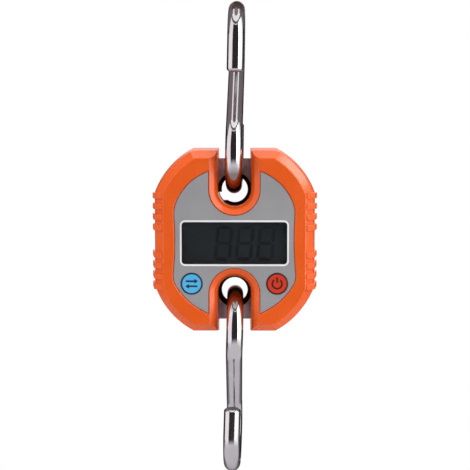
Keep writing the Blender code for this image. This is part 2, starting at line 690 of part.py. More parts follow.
# Keys: a round cap with a flange behind the cover, over a small switch with its own plunger
switch_back_y = BOARD_FRONT_Y - GAP
switch_front_y = switch_back_y - SWITCH_HEIGHT
flange_front_y = INNER_FRONT_Y + GAP
flange_back_y = flange_front_y + KEY_FLANGE_THICKNESS
plunger_radius = PLUNGER_DIAMETER / 2
stem_radius = KEY_STEM_DIAMETER / 2
key_radius = KEY_DIAMETER / 2
flange_radius = key_hole + KEY_FLANGE
plunger_front_y = switch_front_y - KEY_TRAVEL - GAP
stem_back_y = plunger_front_y - GAP
for label, (x, z), colour in zip(("unit", "power"), key_places, (BLUE, RED)):
    place = (x, FRONT_Y, z)
    cap = turned(x, z, (
        (FRONT_Y - KEY_PROUD, key_radius - KEY_ROUND),
        (FRONT_Y - KEY_PROUD + KEY_ROUND, key_radius),
        (flange_front_y, key_radius),
        (flange_front_y, flange_radius),
        (flange_back_y, flange_radius),
        (flange_back_y, stem_radius),
        (stem_back_y, stem_radius),
    ), 24)
    part(f"{label}_key", smooth(cap), colour, place=place)
    half = SWITCH_SIZE / 2
    switch = part(
        f"{label}_switch",
        box((x - half, x + half), (switch_front_y, switch_back_y), (z - half, z + half)),
        BLACK,
    )
    plunger_back_y = switch_front_y + PLUNGER_SUNK
    bore = plunger_radius + GAP
    bore_y = (switch_front_y - OVERCUT, plunger_back_y + KEY_TRAVEL + GAP)
    shape(switch, "DIFFERENCE", f"{label}_switch_bore", turned(x, z, [(y, bore) for y in bore_y], 16))
    plunger = turned(x, z, ((plunger_front_y, plunger_radius), (plunger_back_y, plunger_radius)), 16)
    part(f"{label}_plunger", smooth(plunger), WHITE, place=place)

# Rear cover: the same form, with the battery tray moulded in and the screw seats sunk from behind
rear_parting_y = PARTING_GAP / 2
rear_cover = part("rear_cover", cover_block(rear_parting_y, REAR_Y), ORANGE)
hollow_out(rear_cover, rear_parting_y, REAR_Y)
shape(rear_cover, "UNION", "rear_ribs", ribs(rear_parting_y, REAR_Y))
rear_embedded_y = REAR_Y - WALL / 2
rear_bosses = [
    turned(x, z, ((rear_parting_y, BOSS_DIAMETER / 2), (rear_embedded_y, BOSS_DIAMETER / 2)), 16)
    for x, z in screw_places
]
cell_seat_y = CELL_HALF_Y + GAP
rear_bosses += [
    turned(x, z, ((cell_seat_y, BOSS_DIAMETER / 2), (rear_embedded_y, BOSS_DIAMETER / 2)), 16)
    for x, z in cell_screw_places
]
tray_x, tray_z = TRAY_HALF_X + TRAY_WALL, TRAY_HALF_Z + TRAY_WALL
shape(rear_cover, "UNION", "rear_bosses", joined("rear_bosses", rear_bosses))
tray_block = box((-tray_x, tray_x), (TRAY_FRONT_Y, rear_embedded_y), (-tray_z, tray_z))
shape(rear_cover, "UNION", "tray_block", tray_block)
past_rear_y = REAR_Y + OVERCUT
tray_room = box((-TRAY_HALF_X, TRAY_HALF_X), (TRAY_FLOOR_Y, past_rear_y), (-TRAY_HALF_Z, TRAY_HALF_Z))
shape(rear_cover, "DIFFERENCE", "tray_room", tray_room)
seat_x, seat_z = DOOR_HALF_X + GAP, DOOR_HALF_Z + GAP
door_seat = box((-seat_x, seat_x), (DOOR_FRONT_Y - GAP, past_rear_y), (-seat_z, seat_z))
shape(rear_cover, "DIFFERENCE", "door_seat", door_seat)

head_room = SCREW_HEAD_DIAMETER / 2 + GAP
shank_room = SCREW_DIAMETER / 2 + GAP
screw_holes = [
    turned(x, z, (
        (rear_parting_y - OVERCUT, shank_room),
        (screw_seat_y, shank_room),
        (screw_seat_y, head_room),
        (past_rear_y, head_room),
    ), 16)
    for x, z in screw_places
]
cell_screw_head_y = -CELL_HALF_Y - GAP
cell_screw_end_y = cell_screw_head_y + SCREW_LENGTH
screw_holes += [
    turned(x, z, ((0, cell_screw_hole), (cell_screw_end_y + GAP, cell_screw_hole)), 16)
    for x, z in cell_screw_places
]
shape(rear_cover, "DIFFERENCE", "rear_screw_holes", joined("rear_screw_holes", screw_holes))
shape(rear_cover, "DIFFERENCE", "rear_cell_pocket", cell_pocket())


# Screws: pan heads with a cross recess, which shows on the ones sunk in the back
def screw(name, x, z, seat_y, direction, diameter, head_diameter, head, length):
    """A screw whose head sits on seat_y and whose shank runs along the direction in Y."""
    top_y = seat_y - direction * head
    stations = (
        (top_y, head_diameter / 2 - head / 3),
        (top_y + direction * head / 3, head_diameter / 2),
        (seat_y, head_diameter / 2),
        (seat_y, diameter / 2),
        (seat_y + direction * length, diameter / 2),
    )
    obj = part(name, smooth(turned(x, z, stations, 12)), PLATED)
    deep_y = top_y + direction * CROSS_DEPTH
    proud_y = top_y - direction * OVERCUT
    y = (min(deep_y, proud_y), max(deep_y, proud_y))
    long, wide = CROSS_SIZE / 2, CROSS_WIDTH / 2
    shape(obj, "DIFFERENCE", f"{name}_cross_1", box((x - long, x + long), y, (z - wide, z + wide)))
    shape(obj, "DIFFERENCE", f"{name}_cross_2", box((x - wide, x + wide), y, (z - long, z + long)))


for number, (x, z) in enumerate(screw_places, 1):
    screw(f"housing_screw_{number}", x, z, screw_seat_y + GAP, -1,
          SCREW_DIAMETER, SCREW_HEAD_DIAMETER, SCREW_HEAD, SCREW_LENGTH)
for number, (x, z) in enumerate(cell_screw_places, 1):
    screw(f"load_cell_screw_{number}", x, z, cell_screw_head_y, 1,
          CELL_SCREW_DIAMETER, SCREW_HEAD_DIAMETER, SCREW_HEAD, SCREW_LENGTH)
for number, (x, z) in enumerate(board_screw_places, 1):
    screw(f"board_screw_{number}", x, z, BOARD_BACK_Y + GAP, -1,
          BOARD_SCREW_DIAMETER, BOARD_BOSS_DIAMETER, BOARD_SCREW_DIAMETER, BOARD_SCREW_LENGTH)


# Batteries, side by side and turned end for end, with a spring at each flat end
def along_x(stations, y, z, steps):
    """A round piece along X, from (x, radius) stations."""
    mesh = turned(0, 0, stations, steps)
    turn = Matrix.Rotation(-math.pi / 2, 4, "Z")
    mesh.transform(Matrix.Translation((0, y, z)) @ turn)
    return smooth(mesh)


def spring_mesh(start_x, end_x, y, z):
    """A coil spring that lies along X between two places."""
    points_per_turn = 10
    count = SPRING_TURNS * points_per_turn
    coil_radius = (SPRING_DIAMETER - SPRING_WIRE) / 2
    curve = bpy.data.curves.new("spring_wire", "CURVE")
    curve.dimensions = "3D"
    spline = curve.splines.new("POLY")
    spline.points.add(count)
    for step, point in enumerate(spline.points):
        turn = 2 * math.pi * step / points_per_turn
        x = start_x + (end_x - start_x) * step / count
        point.co = (x, y + coil_radius * math.cos(turn), z + coil_radius * math.sin(turn), 1)
    curve.bevel_depth = SPRING_WIRE / 2
    curve.bevel_resolution = 1
    curve.use_fill_caps = True
    wire = bpy.data.objects.new("spring_wire", curve)
    cutters.objects.link(wire)
    mesh = bpy.data.meshes.new_from_object(wire.evaluated_get(bpy.context.evaluated_depsgraph_get()))
    bpy.data.objects.remove(wire)
    bm = bmesh.new()
    bm.from_mesh(mesh)
    bmesh.ops.remove_doubles(bm, verts=bm.verts, dist=0.00001)
    bpy.data.meshes.remove(mesh)
    return smooth(to_mesh("spring", bm), 60)


contact_outer_x = TRAY_HALF_X - GAP
contact_inner_x = contact_outer_x - CONTACT_THICKNESS
half_contact = CONTACT_SIZE / 2
contact_y = (BATTERY_Y - half_contact, BATTERY_Y + half_contact)
nub_end_x = contact_inner_x - GAP
flat_end_x = nub_end_x - BATTERY_NUB - BATTERY_LENGTH
for number, side in ((1, 1), (2, -1)):
    z = -side * BATTERY_Z
    stations = [
        (side * nub_end_x, BATTERY_NUB_DIAMETER / 2),
        (side * (nub_end_x - BATTERY_NUB), BATTERY_NUB_DIAMETER / 2),
        (side * (nub_end_x - BATTERY_NUB), BATTERY_DIAMETER / 2),
        (side * flat_end_x, BATTERY_DIAMETER / 2),
    ]
    part(f"battery_{number}", along_x(stations, BATTERY_Y, z, 24), CELL_JACKET)
    wire_room = SPRING_WIRE / 2 + GAP
    spring_ends = (-side * (contact_inner_x - wire_room), side * (flat_end_x - wire_room))
    spring = spring_mesh(*spring_ends, BATTERY_Y, z)
    part(f"battery_spring_{number}", spring, PLATED)

spring_length = 2 * nub_end_x - BATTERY_NUB - BATTERY_LENGTH - SPRING_WIRE - 2 * GAP
turn_gap = spring_length / SPRING_TURNS - SPRING_WIRE
print(f"least gap between the turns of a battery spring: {turn_gap * 1000:.2f} mm")

link_half = BATTERY_Z + half_contact
part("link_contact", box((-contact_outer_x, -contact_inner_x), contact_y, (-link_half, link_half)), PLATED)
for name, end in (("positive_contact", -1), ("negative_contact", 1)):
    middle = end * BATTERY_Z
    z = (middle - half_contact, middle + half_contact)
    part(name, box((contact_inner_x, contact_outer_x), contact_y, z), PLATED)

# Battery door: a flat lid flush with the back, with finger grooves at one end
door = part(
    "battery_door",
    box((-DOOR_HALF_X, DOOR_HALF_X), (DOOR_FRONT_Y, DOOR_BACK_Y), (-DOOR_HALF_Z, DOOR_HALF_Z)),
    ORANGE,
    place=(0, DOOR_BACK_Y, 0),
)
groove_half = DOOR_GROOVE_LENGTH / 2
grooves = []
for step in range(DOOR_GROOVES):
    x = DOOR_HALF_X - DOOR_GROOVE_EDGE - DOOR_GROOVE_PITCH * step
    groove_x = (x - DOOR_GROOVE / 2, x + DOOR_GROOVE / 2)
    groove_y = (DOOR_BACK_Y - DOOR_GROOVE, REAR_Y + OVERCUT)
    grooves.append(box(groove_x, groove_y, (-groove_half, groove_half)))
shape(door, "DIFFERENCE", "door_grooves", joined("door_grooves", grooves))
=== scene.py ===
"""Looks of the hanging digital scale: finishes, printed marks and studio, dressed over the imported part."""
import math

import bmesh
import bpy
from mathutils import Matrix, Vector


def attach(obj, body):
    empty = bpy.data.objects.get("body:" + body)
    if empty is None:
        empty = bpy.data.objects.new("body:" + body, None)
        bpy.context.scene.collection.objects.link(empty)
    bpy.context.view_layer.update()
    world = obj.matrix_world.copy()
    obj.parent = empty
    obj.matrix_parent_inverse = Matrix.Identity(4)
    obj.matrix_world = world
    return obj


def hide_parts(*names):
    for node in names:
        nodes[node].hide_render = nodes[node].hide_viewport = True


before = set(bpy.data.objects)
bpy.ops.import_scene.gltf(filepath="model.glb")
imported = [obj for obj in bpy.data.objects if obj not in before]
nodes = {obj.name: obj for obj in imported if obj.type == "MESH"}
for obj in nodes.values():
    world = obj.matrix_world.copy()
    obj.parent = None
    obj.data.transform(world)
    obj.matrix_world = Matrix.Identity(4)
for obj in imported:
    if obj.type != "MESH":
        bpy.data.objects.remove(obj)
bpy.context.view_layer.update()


# Studio: the scale hangs over a pale paper floor in a white room, between tall soft lamps.
# The lamps light without being mirrored. What the polished rods mirror is a ball of light and dark cards, which
# nothing but a reflection shows. The camera looks at the display from a little above, close enough for perspective.
HOUSING_Z = -0.1064416                    # middle of the housing, below the hang point
STUDIO_RADIUS = 1.1
FLOOR_Z = -0.34
FLOOR_RADIUS = 0.40
FLOOR_SIDES = 48
FLOOR_FADE = 0.45                         # share of the radius where the floor starts to fade into the room


def stage_mesh(name, verts, faces, material):
    """A studio surface, which isn't part of the scale."""
    mesh = bpy.data.meshes.new(name)
    mesh.from_pydata(verts, [], faces)
    mesh.materials.append(material)
    obj = bpy.data.objects.new(name, mesh)
    bpy.context.scene.collection.objects.link(obj)
    return obj


def add(tree, kind, operation=None, **values):
    """A shader node whose inputs take plain values or other nodes' outputs; in0 and in1 are its first two."""
    node = tree.nodes.new("ShaderNode" + kind)
    if operation:
        node.operation = operation
    for label, value in values.items():
        socket = node.inputs[int(label[2]) if label in ("in0", "in1") else label.replace("_", " ")]
        if isinstance(value, bpy.types.NodeSocket):
            tree.links.new(value, socket)
        else:
            socket.default_value = value
    return node


paper = bpy.data.materials.new("pale_paper")
paper.use_nodes = True
tree = paper.node_tree
shader = tree.nodes["Principled BSDF"]
shader.inputs["Base Color"].default_value = (0.88, 0.88, 0.88, 1)
shader.inputs["Roughness"].default_value = 0.9
far = add(tree, "VectorMath", "LENGTH", in0=add(tree, "TexCoord").outputs["Object"])
fade = add(
    tree, "MapRange", Value=far.outputs["Value"],
    From_Min=FLOOR_RADIUS * FLOOR_FADE, From_Max=FLOOR_RADIUS, To_Min=1.0, To_Max=0.0,
)
fade.interpolation_type = "SMOOTHSTEP"
tree.links.new(fade.outputs[0], shader.inputs["Alpha"])
rim = [
    Matrix.Rotation(math.tau * step / FLOOR_SIDES, 3, "Z") @ Vector((FLOOR_RADIUS, 0, 0))
    for step in range(FLOOR_SIDES)
]
floor = stage_mesh("studio_floor", rim, [range(FLOOR_SIDES)], paper)
floor.location.z = FLOOR_Z
floor.visible_glossy = False

# The cards: turn from and to, rise from and to, both in degrees, then the colour at the bottom and at the top.
CARD_STEPS = 24
CARDS = (
    ("left_card", -96, -42, -21.5, 52, (1.00, 0.93, 0.96), (1.00, 0.93, 0.96)),
    ("left_fade", -96, -42, -36, -21.5, (0.62, 0.60, 0.63), (1.00, 0.93, 0.96)),
    ("right_card", 42, 80, -21.5, 52, (3.7, 3.7, 3.7), (3.7, 3.7, 3.7)),
    ("right_fade", 37, 104, -36, -21.5, (0.62, 0.60, 0.63), (1.2, 1.2, 1.2)),
    ("front_card", -42, 37, -21.5, 50, (0.030, 0.026, 0.027), (0.030, 0.026, 0.027)),
    ("front_fade", -42, 37, -36, -21.5, (0.62, 0.61, 0.64), (0.030, 0.026, 0.027)),
    ("left_low_card", -167, -103, -22, 22, (0.038, 0.032, 0.032), (0.038, 0.032, 0.032)),
    ("right_low_card", 104, 167, -22, 22, (0.038, 0.032, 0.032), (0.038, 0.032, 0.032)),
    ("left_high_card", -167, -96, 22, 65, (0.20, 0.17, 0.18), (0.20, 0.17, 0.18)),
    ("right_high_card", 106, 167, 22, 45, (0.175, 0.155, 0.17), (0.175, 0.155, 0.17)),
    ("right_top_card", 97, 167, 45, 65, (0.175, 0.155, 0.17), (0.175, 0.155, 0.17)),
    ("high_ring_card", -96, 97, 52, 59, (0.10, 0.088, 0.094), (0.10, 0.088, 0.094)),
    ("over_card", -180, 180, 75, 90, (0.26, 0.205, 0.195), (0.26, 0.205, 0.195)),
    ("back_card", 130, 230, 33, 75, (0.10, 0.07, 0.062), (0.10, 0.07, 0.062)),
    ("under_card", -180, 180, -90, -52, (0.58, 0.57, 0.60), (0.60, 0.59, 0.62)),
    ("under_ring_card", -132, 132, -52, -36, (0.60, 0.59, 0.62), (0.62, 0.61, 0.64)),
    ("left_side_fade", -132, -96, -36, -22, (0.62, 0.61, 0.64), (0.10, 0.09, 0.095)),
    ("right_side_fade", 104, 132, -36, -22, (0.62, 0.61, 0.64), (0.10, 0.09, 0.095)),
    ("under_back_card", 132, 228, -52, -22, (0.40, 0.39, 0.41), (0.05, 0.048, 0.05)),
)
for name, low_turn, high_turn, low_rise, high_rise, bottom, top in CARDS:
    matt = bpy.data.materials.new(name)
    matt.use_nodes = True
    tree = matt.node_tree
    shader = tree.nodes["Principled BSDF"]
    shader.inputs["Base Color"].default_value = (0, 0, 0, 1)
    shader.inputs["Roughness"].default_value = 1.0
    shader.inputs["Specular IOR Level"].default_value = 0.0
    shader.inputs["Emission Strength"].default_value = 1.0
    height = add(tree, "SeparateXYZ", in0=add(tree, "TexCoord").outputs["Object"])
    ramp = add(
        tree, "MapRange", Value=height.outputs["Z"],
        From_Min=HOUSING_Z + STUDIO_RADIUS * math.sin(math.radians(low_rise)),
        From_Max=HOUSING_Z + STUDIO_RADIUS * math.sin(math.radians(high_rise)),
    )
    shade = tree.nodes.new("ShaderNodeMix")
    shade.data_type = "RGBA"
    shade.inputs["A"].default_value = (*bottom, 1)
    shade.inputs["B"].default_value = (*top, 1)
    tree.links.new(ramp.outputs[0], shade.inputs["Factor"])
    tree.links.new(shade.outputs["Result"], shader.inputs["Emission Color"])
    if name in ("left_card", "right_card"):   # so bright that a rod doesn't show them by way of another rod
        depth = add(tree, "LightPath").outputs["Glossy Depth"]
        near = add(tree, "Math", "LESS_THAN", in0=depth, in1=1.5)
        tree.links.new(near.outputs[0], shader.inputs["Emission Strength"])
    verts, faces = [], []
    for step in range(CARD_STEPS + 1):
        turn = math.radians(low_turn + (high_turn - low_turn) * step / CARD_STEPS)
        for rise in (math.radians(low_rise), math.radians(high_rise)):
            out = math.cos(rise) * STUDIO_RADIUS
            verts.append((out * math.sin(turn), -out * math.cos(turn), HOUSING_Z + STUDIO_RADIUS * math.sin(rise)))
        if step:
            faces.append((2 * step - 2, 2 * step, 2 * step + 1, 2 * step - 1))
    card = stage_mesh(name, verts, faces, matt)
    card.visible_camera = False
    card.visible_diffuse = False
    card.visible_shadow = False



def toward(turn, rise):
    """The way out from the scale at a turn and a rise, in degrees."""
    a, e = math.radians(turn), math.radians(rise)
    return Vector((math.sin(a) * math.cos(e), -math.cos(a) * math.cos(e), math.sin(e)))


# The lamps: turn, rise, width, height and power. The last two only put a gloss on the orange pieces.
GLOSS_DISTANCE, SOFT_DISTANCE = 0.9, 1.1  # in studio radii
orange_pieces = bpy.data.collections.new("orange_pieces")
for name, turn, rise, width, height, power, gloss in (
    ("soft_light_left", -66, 20, 1.15, 1.9, 10.4, False),
    ("soft_light_right", 73, 20, 1.40, 1.9, 19.8, False),
    ("soft_light_top", 0, 86, 1.7, 1.3, 8.5, False),
    ("soft_light_behind", 180, 5, 1.4, 1.2, 8.0, False),
    ("gloss_light_back", 180, 78, 1.2, 0.42, 3.0, True),
    ("gloss_light_corner", 108, 40, 0.48, 0.48, 3.8, True),
):
    lamp = bpy.data.lights.new(name, "AREA")
    lamp.shape = "RECTANGLE"
    lamp.size = width
    lamp.size_y = height
    lamp.energy = power
    light = bpy.data.objects.new(name, lamp)
    bpy.context.scene.collection.objects.link(light)
    away = toward(turn, rise)
    light.location = Vector((0, 0, HOUSING_Z)) + away * STUDIO_RADIUS * (GLOSS_DISTANCE if gloss else SOFT_DISTANCE)
    light.rotation_euler = away.to_track_quat("Z", "Y").to_euler()
    light.visible_camera = False
    light.visible_glossy = gloss
    light.visible_diffuse = not gloss
    if gloss:
        light.light_linking.receiver_collection = orange_pieces

# The room: white to the camera, in reflections and through the window, dimmer as a light.
ROOM_LIGHT = 0.39
world = bpy.data.worlds.new("white_room")
bpy.context.scene.world = world
world.use_nodes = True
tree = world.node_tree
room = tree.nodes["Background"]
room.inputs["Color"].default_value = (1, 1, 1, 1)
path = add(tree, "LightPath").outputs
seen = add(tree, "Math", "MAXIMUM", in0=path["Is Camera Ray"], in1=path["Is Glossy Ray"])
also = add(tree, "Math", "MAXIMUM", in0=seen.outputs[0], in1=path["Is Transmission Ray"])
level = add(tree, "MapRange", Value=also.outputs[0], To_Min=ROOM_LIGHT, To_Max=1.0)
tree.links.new(level.outputs[0], room.inputs["Strength"])

# The camera: turn and rise in degrees, then its distance from the place that it is aimed at.
CAMERA_TURN = 0.64
CAMERA_RISE = 4.06
CAMERA_DISTANCE = 0.4375
AIM = Vector((0.00012, 0, HOUSING_Z + 0.00217))
lens = bpy.data.cameras.new("photo_camera")
lens.sensor_width = 36
lens.lens = 68.6
lens.clip_start = 0.01
camera = bpy.data.objects.new("photo_camera", lens)
bpy.context.scene.collection.objects.link(camera)
away = toward(CAMERA_TURN, CAMERA_RISE)
camera.location = AIM + away * CAMERA_DISTANCE
camera.rotation_euler = away.to_track_quat("Z", "Y").to_euler()
bpy.context.scene.camera = camera
bpy.context.scene.view_settings.view_transform = "Standard"


# Load cell: a flat block of alloy between the two eyes, milled and sawn into an S, left bare.
# Long milling marks run up it, and the eyes with their wide chamfers carry painted shade, a near-black stand-in for
# the dark that they mirror.
# It is held in the rear cover by two screws.
def node_group(name, inputs, outputs):
    """An empty shader group with named inputs (name, kind, value) and outputs (name, kind)."""
    group = bpy.data.node_groups.new(name, "ShaderNodeTree")
    for label, kind, value in inputs:
        socket = group.interface.new_socket(label, in_out="INPUT", socket_type=kind)
        socket.default_value = value
    for label, kind in outputs:
        group.interface.new_socket(label, in_out="OUTPUT", socket_type=kind)
    return group, group.nodes.new("NodeGroupInput"), group.nodes.new("NodeGroupOutput")


FLOAT, VECTOR = "NodeSocketFloat", "NodeSocketVector"
drawn, given, made = node_group(
    "drawn_lines",
    [("Stretch", VECTOR, (1, 1, 1)), ("Low", FLOAT, 0.2), ("High", FLOAT, 0.4)],
    [("Lines", FLOAT), ("Roughness", FLOAT), ("Smudge", FLOAT)],
)
place = add(drawn, "TexCoord").outputs["Object"]
stretch = add(drawn, "VectorMath", "MULTIPLY", in0=place, in1=given.outputs["Stretch"])
fine = add(drawn, "TexNoise", Vector=stretch.outputs[0], Scale=1.0, Detail=3.0)
smudge = add(drawn, "TexNoise", Vector=place, Scale=130.0, Detail=2.0)
mixed = add(drawn, "Math", "MULTIPLY", in0=fine.outputs["Fac"], in1=smudge.outputs["Fac"])
spread = add(
    drawn, "MapRange", Value=mixed.outputs[0],
    From_Min=0.12, From_Max=0.40, To_Min=given.outputs["Low"], To_Max=given.outputs["High"],
)
drawn.links.new(fine.outputs["Fac"], made.inputs["Lines"])
drawn.links.new(spread.outputs[0], made.inputs["Roughness"])
drawn.links.new(smudge.outputs["Fac"], made.inputs["Smudge"])


def finish(name, **values):
    """A material with one Principled shader, whose plain values are set on its own sockets."""
    material = bpy.data.materials.new(name)
    material.use_nodes = True
    shader = material.node_tree.nodes["Principled BSDF"]
    for label, value in values.items():
        socket = shader.inputs[label.replace("_", " ")]
        socket.default_value = (*value, 1) if isinstance(value, tuple) else value
    return material


def effect(material, group, **values):
    """One shared effect placed in a material."""
    box = material.node_tree.nodes.new("ShaderNodeGroup")
    box.node_tree = group
    for label, value in values.items():
        box.inputs[label].default_value = value
    return box


def tint(material, source, dark, light, low=0.3, high=0.7):
    """Base Color between two shades, driven by a mask."""
    tree = material.node_tree
    ramp = tree.nodes.new("ShaderNodeValToRGB")
    ramp.color_ramp.elements[0].position = low
    ramp.color_ramp.elements[1].position = high
    ramp.color_ramp.elements[0].color = (*dark, 1)
    ramp.color_ramp.elements[1].color = (*light, 1)
    tree.links.new(source, ramp.inputs["Fac"])
    tree.links.new(ramp.outputs["Color"], tree.nodes["Principled BSDF"].inputs["Base Color"])


def rough(material, source):
    """Roughness from a mask."""
    tree = material.node_tree
    tree.links.new(source, tree.nodes["Principled BSDF"].inputs["Roughness"])


def relief(material, height, distance):
    """Bump from a height mask, its depth in metres."""
    tree = material.node_tree
    bump = add(tree, "Bump", Height=height, Distance=distance)
    tree.links.new(bump.outputs["Normal"], tree.nodes["Principled BSDF"].inputs["Normal"])


def dress(name, material):
    """Give a CAD node its finish."""
    nodes[name].data.materials.clear()
    nodes[name].data.materials.append(material)


def loft(rings):
    """A closed mesh through rings of like count, capped at both ends."""
    bm = bmesh.new()
    rows = [[bm.verts.new(point) for point in ring] for ring in rings]
    count = len(rows[0])
    for low, high in zip(rows, rows[1:]):
        for index in range(count):
            after = (index + 1) % count
            bm.faces.new((low[index], low[after], high[after], high[index]))
    bm.faces.new(rows[0][::-1])
    bm.faces.new(rows[-1])
    if bm.calc_volume(signed=True) < 0:
        bmesh.ops.reverse_faces(bm, faces=bm.faces)
    mesh = bpy.data.meshes.new("loft")
    bm.to_mesh(mesh)
    bm.free()
    return mesh


def at(outline, y):
    """An outline in (x, z), placed at a depth."""
    return [Vector((x, y, z)) for x, z in outline]


def slab(outline, low_y, high_y):
    """An outline in (x, z), raised between two depths."""
    return loft([at(outline, low_y), at(outline, high_y)])


def block(x, y, z):
    """A box between two limits on each axis."""
    return slab([(x[0], z[0]), (x[0], z[1]), (x[1], z[1]), (x[1], z[0])], *y)


def turned(x, z, stations, steps=32):
    """A round piece along Y through (y, radius) stations."""
    turns = [math.tau * step / steps for step in range(steps)]
    return loft([
        [Vector((x + radius * math.cos(turn), y, z + radius * math.sin(turn))) for turn in turns]
        for y, radius in stations
    ])


WELD = 5e-7                               # points closer than this are one


def carve(piece, operation, *meshes):
    """Cut meshes that don't touch each other from a piece, or join them to it."""
    bm = bmesh.new()
    for mesh in meshes:
        bm.from_mesh(mesh)
        bpy.data.meshes.remove(mesh)
    tool_mesh = bpy.data.meshes.new("tool")
    bm.to_mesh(tool_mesh)
    bm.free()
    tool = bpy.data.objects.new("tool", tool_mesh)
    bpy.context.scene.collection.objects.link(tool)
    tool.location = piece.location
    cut = piece.modifiers.new("cut", "BOOLEAN")
    cut.operation = operation
    cut.solver = "EXACT"
    cut.object = tool
    bpy.context.view_layer.update()
    solid = bpy.data.meshes.new_from_object(piece.evaluated_get(bpy.context.evaluated_depsgraph_get()))
    piece.modifiers.clear()
    bm = bmesh.new()
    bm.from_mesh(solid)
    bmesh.ops.remove_doubles(bm, verts=bm.verts, dist=WELD)
    bmesh.ops.dissolve_degenerate(bm, edges=bm.edges, dist=WELD)
    bm.to_mesh(solid)
    bm.free()
    old, piece.data = piece.data, solid
    bpy.data.meshes.remove(old)
    bpy.data.objects.remove(tool)
    bpy.data.meshes.remove(tool_mesh)


def new_piece(name, mesh):
    """A piece of the scale, modelled from the middle of the housing."""
    piece = bpy.data.objects.new(name, mesh)
    bpy.context.scene.collection.objects.link(piece)
    piece.location.z = HOUSING_Z
    return piece


def settle(piece, material, slot, body, *stands_for, degrees=30):
    """Shade a finished piece smooth up to its creases, and let it ride a body in place of its nodes."""
    piece.data.materials.clear()
    piece.data.materials.append(material)
    piece.data.polygons.foreach_set("material_index", [0] * len(piece.data.polygons))
    piece.data.shade_smooth()
    piece.data.set_sharp_from_angle(angle=math.radians(degrees))
    even = piece.modifiers.new("even", "WEIGHTED_NORMAL")
    even.keep_sharp = True
    even.weight = 100
    if slot == "orange_abs":
        orange_pieces.objects.link(piece)
    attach(piece, body)
    if stands_for:
        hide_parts(*stands_for)


rounds, given, made = node_group(
    "round_mask",
    [("Centre", VECTOR, (0, 0, 0)), ("Radius", FLOAT, 0.005), ("Blur", FLOAT, 0.0001)],
    [("Inside", FLOAT)],
)
place = add(rounds, "TexCoord").outputs["Object"]
offset = add(rounds, "VectorMath", "SUBTRACT", in0=place, in1=given.outputs["Centre"])
flat = add(rounds, "VectorMath", "MULTIPLY", in0=offset.outputs[0], in1=(1, 0, 1))
far = add(rounds, "VectorMath", "LENGTH", in0=flat.outputs[0])
spare = add(rounds, "Math", "SUBTRACT", in0=given.outputs["Radius"], in1=far.outputs["Value"])
share = add(rounds, "Math", "DIVIDE", in0=spare.outputs[0], in1=given.outputs["Blur"])
share.use_clamp = True
rounds.links.new(share.outputs[0], made.inputs["Inside"])


def cover_with(material, mask, colour):
    """Lay a second colour over a material's Base Color where a mask is 1."""
    tree = material.node_tree
    base = tree.nodes["Principled BSDF"].inputs["Base Color"]
    mix = tree.nodes.new("ShaderNodeMix")
    mix.data_type = "RGBA"
    tree.links.new(base.links[0].from_socket, mix.inputs["A"])
    mix.inputs["B"].default_value = (*colour, 1)
    tree.links.new(mask, mix.inputs["Factor"])
    tree.links.new(mix.outputs["Result"], base)


EYE_Z = 0.0246
EYE_RADIUS = 0.0063
EYE_CHAMFER = 0.002
CELL_HALF = (0.017, 0.004, 0.0395)
CELL_FOOT_Z = -0.0384
SLOT_MIDDLE, SLOT_HALF = 0.0213, 0.002
POCKET_RADIUS, POCKET_FLOOR = 0.009, 0.001
CELL_SCREWS = [(side * 0.0125, 0.035) for side in (-1, 1)]
CELL_SCREW_HOLE = 0.0018
PAST = 0.002                              # how far a cut runs past the face that it opens
EYE_BRIGHT = 0.0001                       # width of the bright line left round the painted shade of an eye
milled = finish("milled_alloy", Metallic=1.0)
lines = effect(milled, drawn, Stretch=(3000, 600, 120), Low=0.30, High=0.46)
tint(milled, lines.outputs["Lines"], (0.78, 0.72, 0.78), (0.94, 0.89, 0.95))
rough(milled, lines.outputs["Roughness"])
relief(milled, lines.outputs["Lines"], 0.00002)
# Painted shade: each eye and its chamfer are coloured near black, in place of the dark that they mirror.
for end in (1, -1):
    eye = effect(milled, rounds, Centre=(0, 0, end * EYE_Z), Radius=EYE_RADIUS + EYE_CHAMFER - EYE_BRIGHT)
    cover_with(milled, eye.outputs["Inside"], (0.09, 0.06, 0.055))
load_cell = new_piece("load_cell_plate", block(
    (-CELL_HALF[0], CELL_HALF[0]), (-CELL_HALF[1], CELL_HALF[1]), (CELL_FOOT_Z, CELL_HALF[2]),
))
past_y = CELL_HALF[1] + PAST
wide, land = EYE_RADIUS + EYE_CHAMFER + PAST, CELL_HALF[1] - EYE_CHAMFER
eye_line = ((-past_y, wide), (-land, EYE_RADIUS), (land, EYE_RADIUS), (past_y, wide))
carve(load_cell, "DIFFERENCE", *[turned(0, end * EYE_Z, eye_line, 72) for end in (1, -1)])
carve(load_cell, "DIFFERENCE", *[
    block(
        sorted((0, -end * (CELL_HALF[0] + PAST))), (-past_y, past_y),
        (end * SLOT_MIDDLE - SLOT_HALF, end * SLOT_MIDDLE + SLOT_HALF),
    )
    for end in (1, -1)
])
carve(load_cell, "DIFFERENCE", *[
    turned(0, 0, ((side * POCKET_FLOOR, POCKET_RADIUS), (side * past_y, POCKET_RADIUS)), 48) for side in (1, -1)
])
carve(load_cell, "DIFFERENCE", *[
    turned(x, z, ((-past_y, CELL_SCREW_HOLE), (past_y, CELL_SCREW_HOLE))) for x, z in CELL_SCREWS
])
settle(load_cell, milled, "machined_alloy", "housing", "load_cell")
